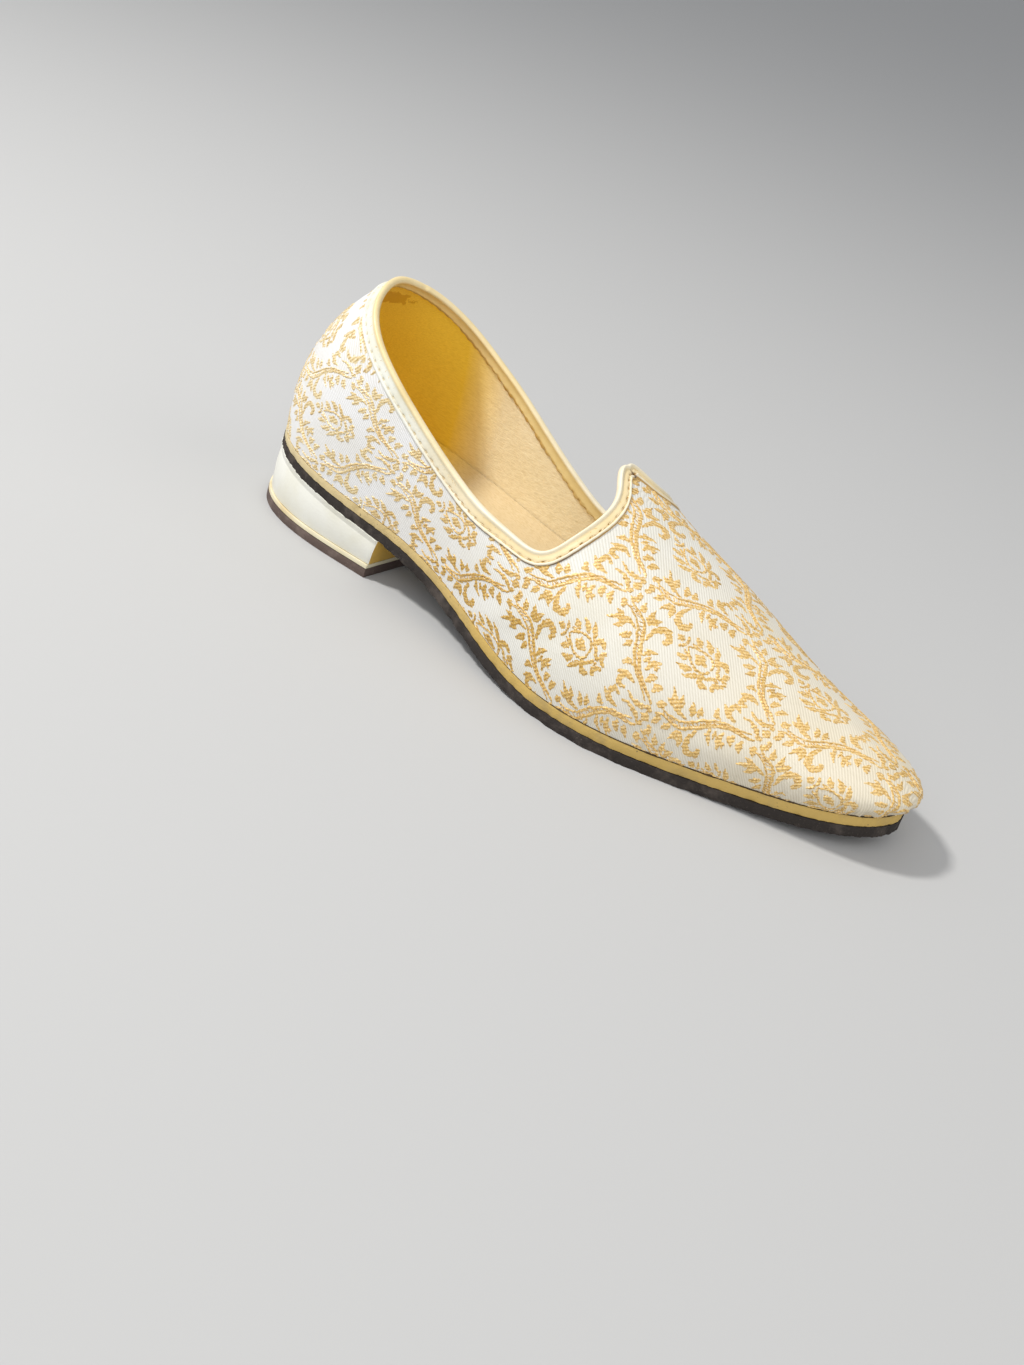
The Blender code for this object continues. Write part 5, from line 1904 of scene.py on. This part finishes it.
@dataclass
class Studio:
    """Camera at the photograph's angle, pale floor and soft lights."""

    eye: Triple = (0.3964, -0.5270, 0.3038)
    right: Triple = (0.75127, 0.60128, 0.27212)
    forward: Triple = (-0.43921, 0.76324, -0.47389)
    lens: float = 47.65
    sensor: float = 36.0
    backdrop: Triple = (0.50, 0.50, 0.50)
    surround: Triple = (0.95, 0.97, 1.0)
    surround_power: float = 0.50
    lit: Triple = (0.10, 0.0, 0.04)
    lamps: tuple[tuple[str, Triple, float, float, Triple], ...] = (
        ("key_light", (-0.61, -0.40, 1.10), 0.16, 14.2, (1.0, 0.985, 0.95)),
        ("fill_light", (0.50, -1.40, 0.85), 1.4, 9.6, (1.0, 0.99, 0.97)),
        ("front_light", (1.30, 0.20, 0.90), 1.2, 5.0, (1.0, 0.97, 0.92)),
    )

    def camera(self) -> None:
        """Makes the camera."""
        data = bpy.data.cameras.new("camera")
        data.lens = self.lens
        data.sensor_width = self.sensor
        data.clip_start = 0.01
        camera = bpy.data.objects.new("camera", data)
        right = Vector(self.right).normalized()
        back = -Vector(self.forward).normalized()
        up = back.cross(right).normalized()
        right = up.cross(back)
        camera.matrix_world = Matrix((
            (right.x, up.x, back.x, self.eye[0]),
            (right.y, up.y, back.y, self.eye[1]),
            (right.z, up.z, back.z, self.eye[2]),
            (0.0, 0.0, 0.0, 1.0),
        ))
        bpy.context.scene.collection.objects.link(camera)
        bpy.context.scene.camera = camera

    def floor(self) -> None:
        """Makes the plain floor."""
        Bench.clear()
        bpy.ops.mesh.primitive_plane_add(size=12.0, location=(0.1, 0.0, 0.0))
        floor = bpy.context.active_object
        floor.name = "studio_floor"
        paper = Graph("studio_paper")
        paper.set(Base_Color=(*self.backdrop, 1.0), Roughness=0.9, Specular_IOR_Level=0.1)
        floor.data.materials.append(paper.material)
        floor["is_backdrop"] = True

    def lamp(self, name: str, place: Triple, size: float, power: float,
             tint: Triple) -> None:
        """Makes one square soft light that looks at the shoe."""
        data = bpy.data.lights.new(name, "AREA")
        data.shape = "SQUARE"
        data.size = size
        data.energy = power
        data.color = tint
        lamp = bpy.data.objects.new(name, data)
        lamp.location = place
        way = Vector(self.lit) - Vector(place)
        lamp.rotation_mode = "QUATERNION"
        lamp.rotation_quaternion = way.to_track_quat("-Z", "Y")
        bpy.context.scene.collection.objects.link(lamp)

    def lights(self) -> None:
        """Makes the lights and the pale surround."""
        for lamp in self.lamps:
            self.lamp(*lamp)
        world = bpy.data.worlds.new("studio")
        world.use_nodes = True
        sky = world.node_tree.nodes["Background"]
        sky.inputs["Color"].default_value = (*self.surround, 1.0)
        sky.inputs["Strength"].default_value = self.surround_power
        bpy.context.scene.world = world
        settings = bpy.context.scene.view_settings
        settings.view_transform = "Standard"
        settings.look = "None"
        settings.exposure = 0.0
        settings.gamma = 1.0

    def build(self) -> None:
        """Sets up the whole studio."""
        self.camera()
        self.floor()
        self.lights()


def box_list(corners: tuple[Vector, Vector]) -> list[list[float]]:
    """Two corners as plain lists of numbers."""
    return [[float(value) for value in corner] for corner in corners]


def main() -> list[list[float]]:
    """Builds every sub-assembly in order.

    Returns:
        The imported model's box, as it was before anything was added.
    """
    logging.basicConfig(level=logging.INFO, format="%(name)s: %(message)s")
    for old in list(bpy.data.objects):
        bpy.data.objects.remove(old, do_unlink=True)
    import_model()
    solid_box = box_list(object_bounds())
    Bench.clear()
    last = Last()
    line = CollarLine(last)
    cloth = ClothMap(last)
    studio = Studio()
    studio.build()
    upper = Upper(last, RibPlan(last, line), cloth)
    # The lining's back colour includes painted shade.
    upper.build(SatinGround().build(),
                NappedLining("golden_lining", (0.95, 0.665, 0.06), (0.91, 0.785, 0.52)).build())
    weave = Weave(cloth)
    weave.lay(upper.skin, GoldWeft().build())
    LOG.info("pattern: %d strokes drawn", weave.drawn)
    binding = Binding(last, line)
    binding.build(StripSkin("binding_skin", (0.84, 0.77, 0.57), (0.74, 0.63, 0.38)).build())
    binding.sew(SewingThread().build())
    rubber = DarkRubber("outsole_rubber", (0.030, 0.024, 0.021), (0.14, 0.115, 0.10)).build()
    # The sock's heel colour includes painted shade, and its front is darker than the wall's to hold back the
    # stronger light on the flat footbed, which is painted shade too.
    Sole(last).build(rubber, TanFoam().build(),
                     NappedLining("napped_sock", (0.92, 0.64, 0.09), (0.70, 0.56, 0.335)).build())
    # The feather line's near-black colour stands for glue and painted shade under the cloth's edge.
    FeatherLine(last).build(DarkRubber("glue_and_shade", (0.060, 0.035, 0.015), (0.20, 0.13, 0.05)).build())
    cover = CreamSkin("heel_cover", (0.79, 0.785, 0.72), (0.73, 0.71, 0.60)).build()
    Heel(last).build(cover,
                     CreamSkin("heel_breast", (0.74, 0.46, 0.09), (0.55, 0.32, 0.06)).build(),
                     CreamSkin("heel_strip", (0.80, 0.73, 0.52), (0.66, 0.52, 0.27)).build(),
                     DarkRubber("lift_rubber", (0.115, 0.082, 0.070), (0.28, 0.22, 0.19)).build())
    return solid_box


if __name__ == "__main__":
    cad_box = main()
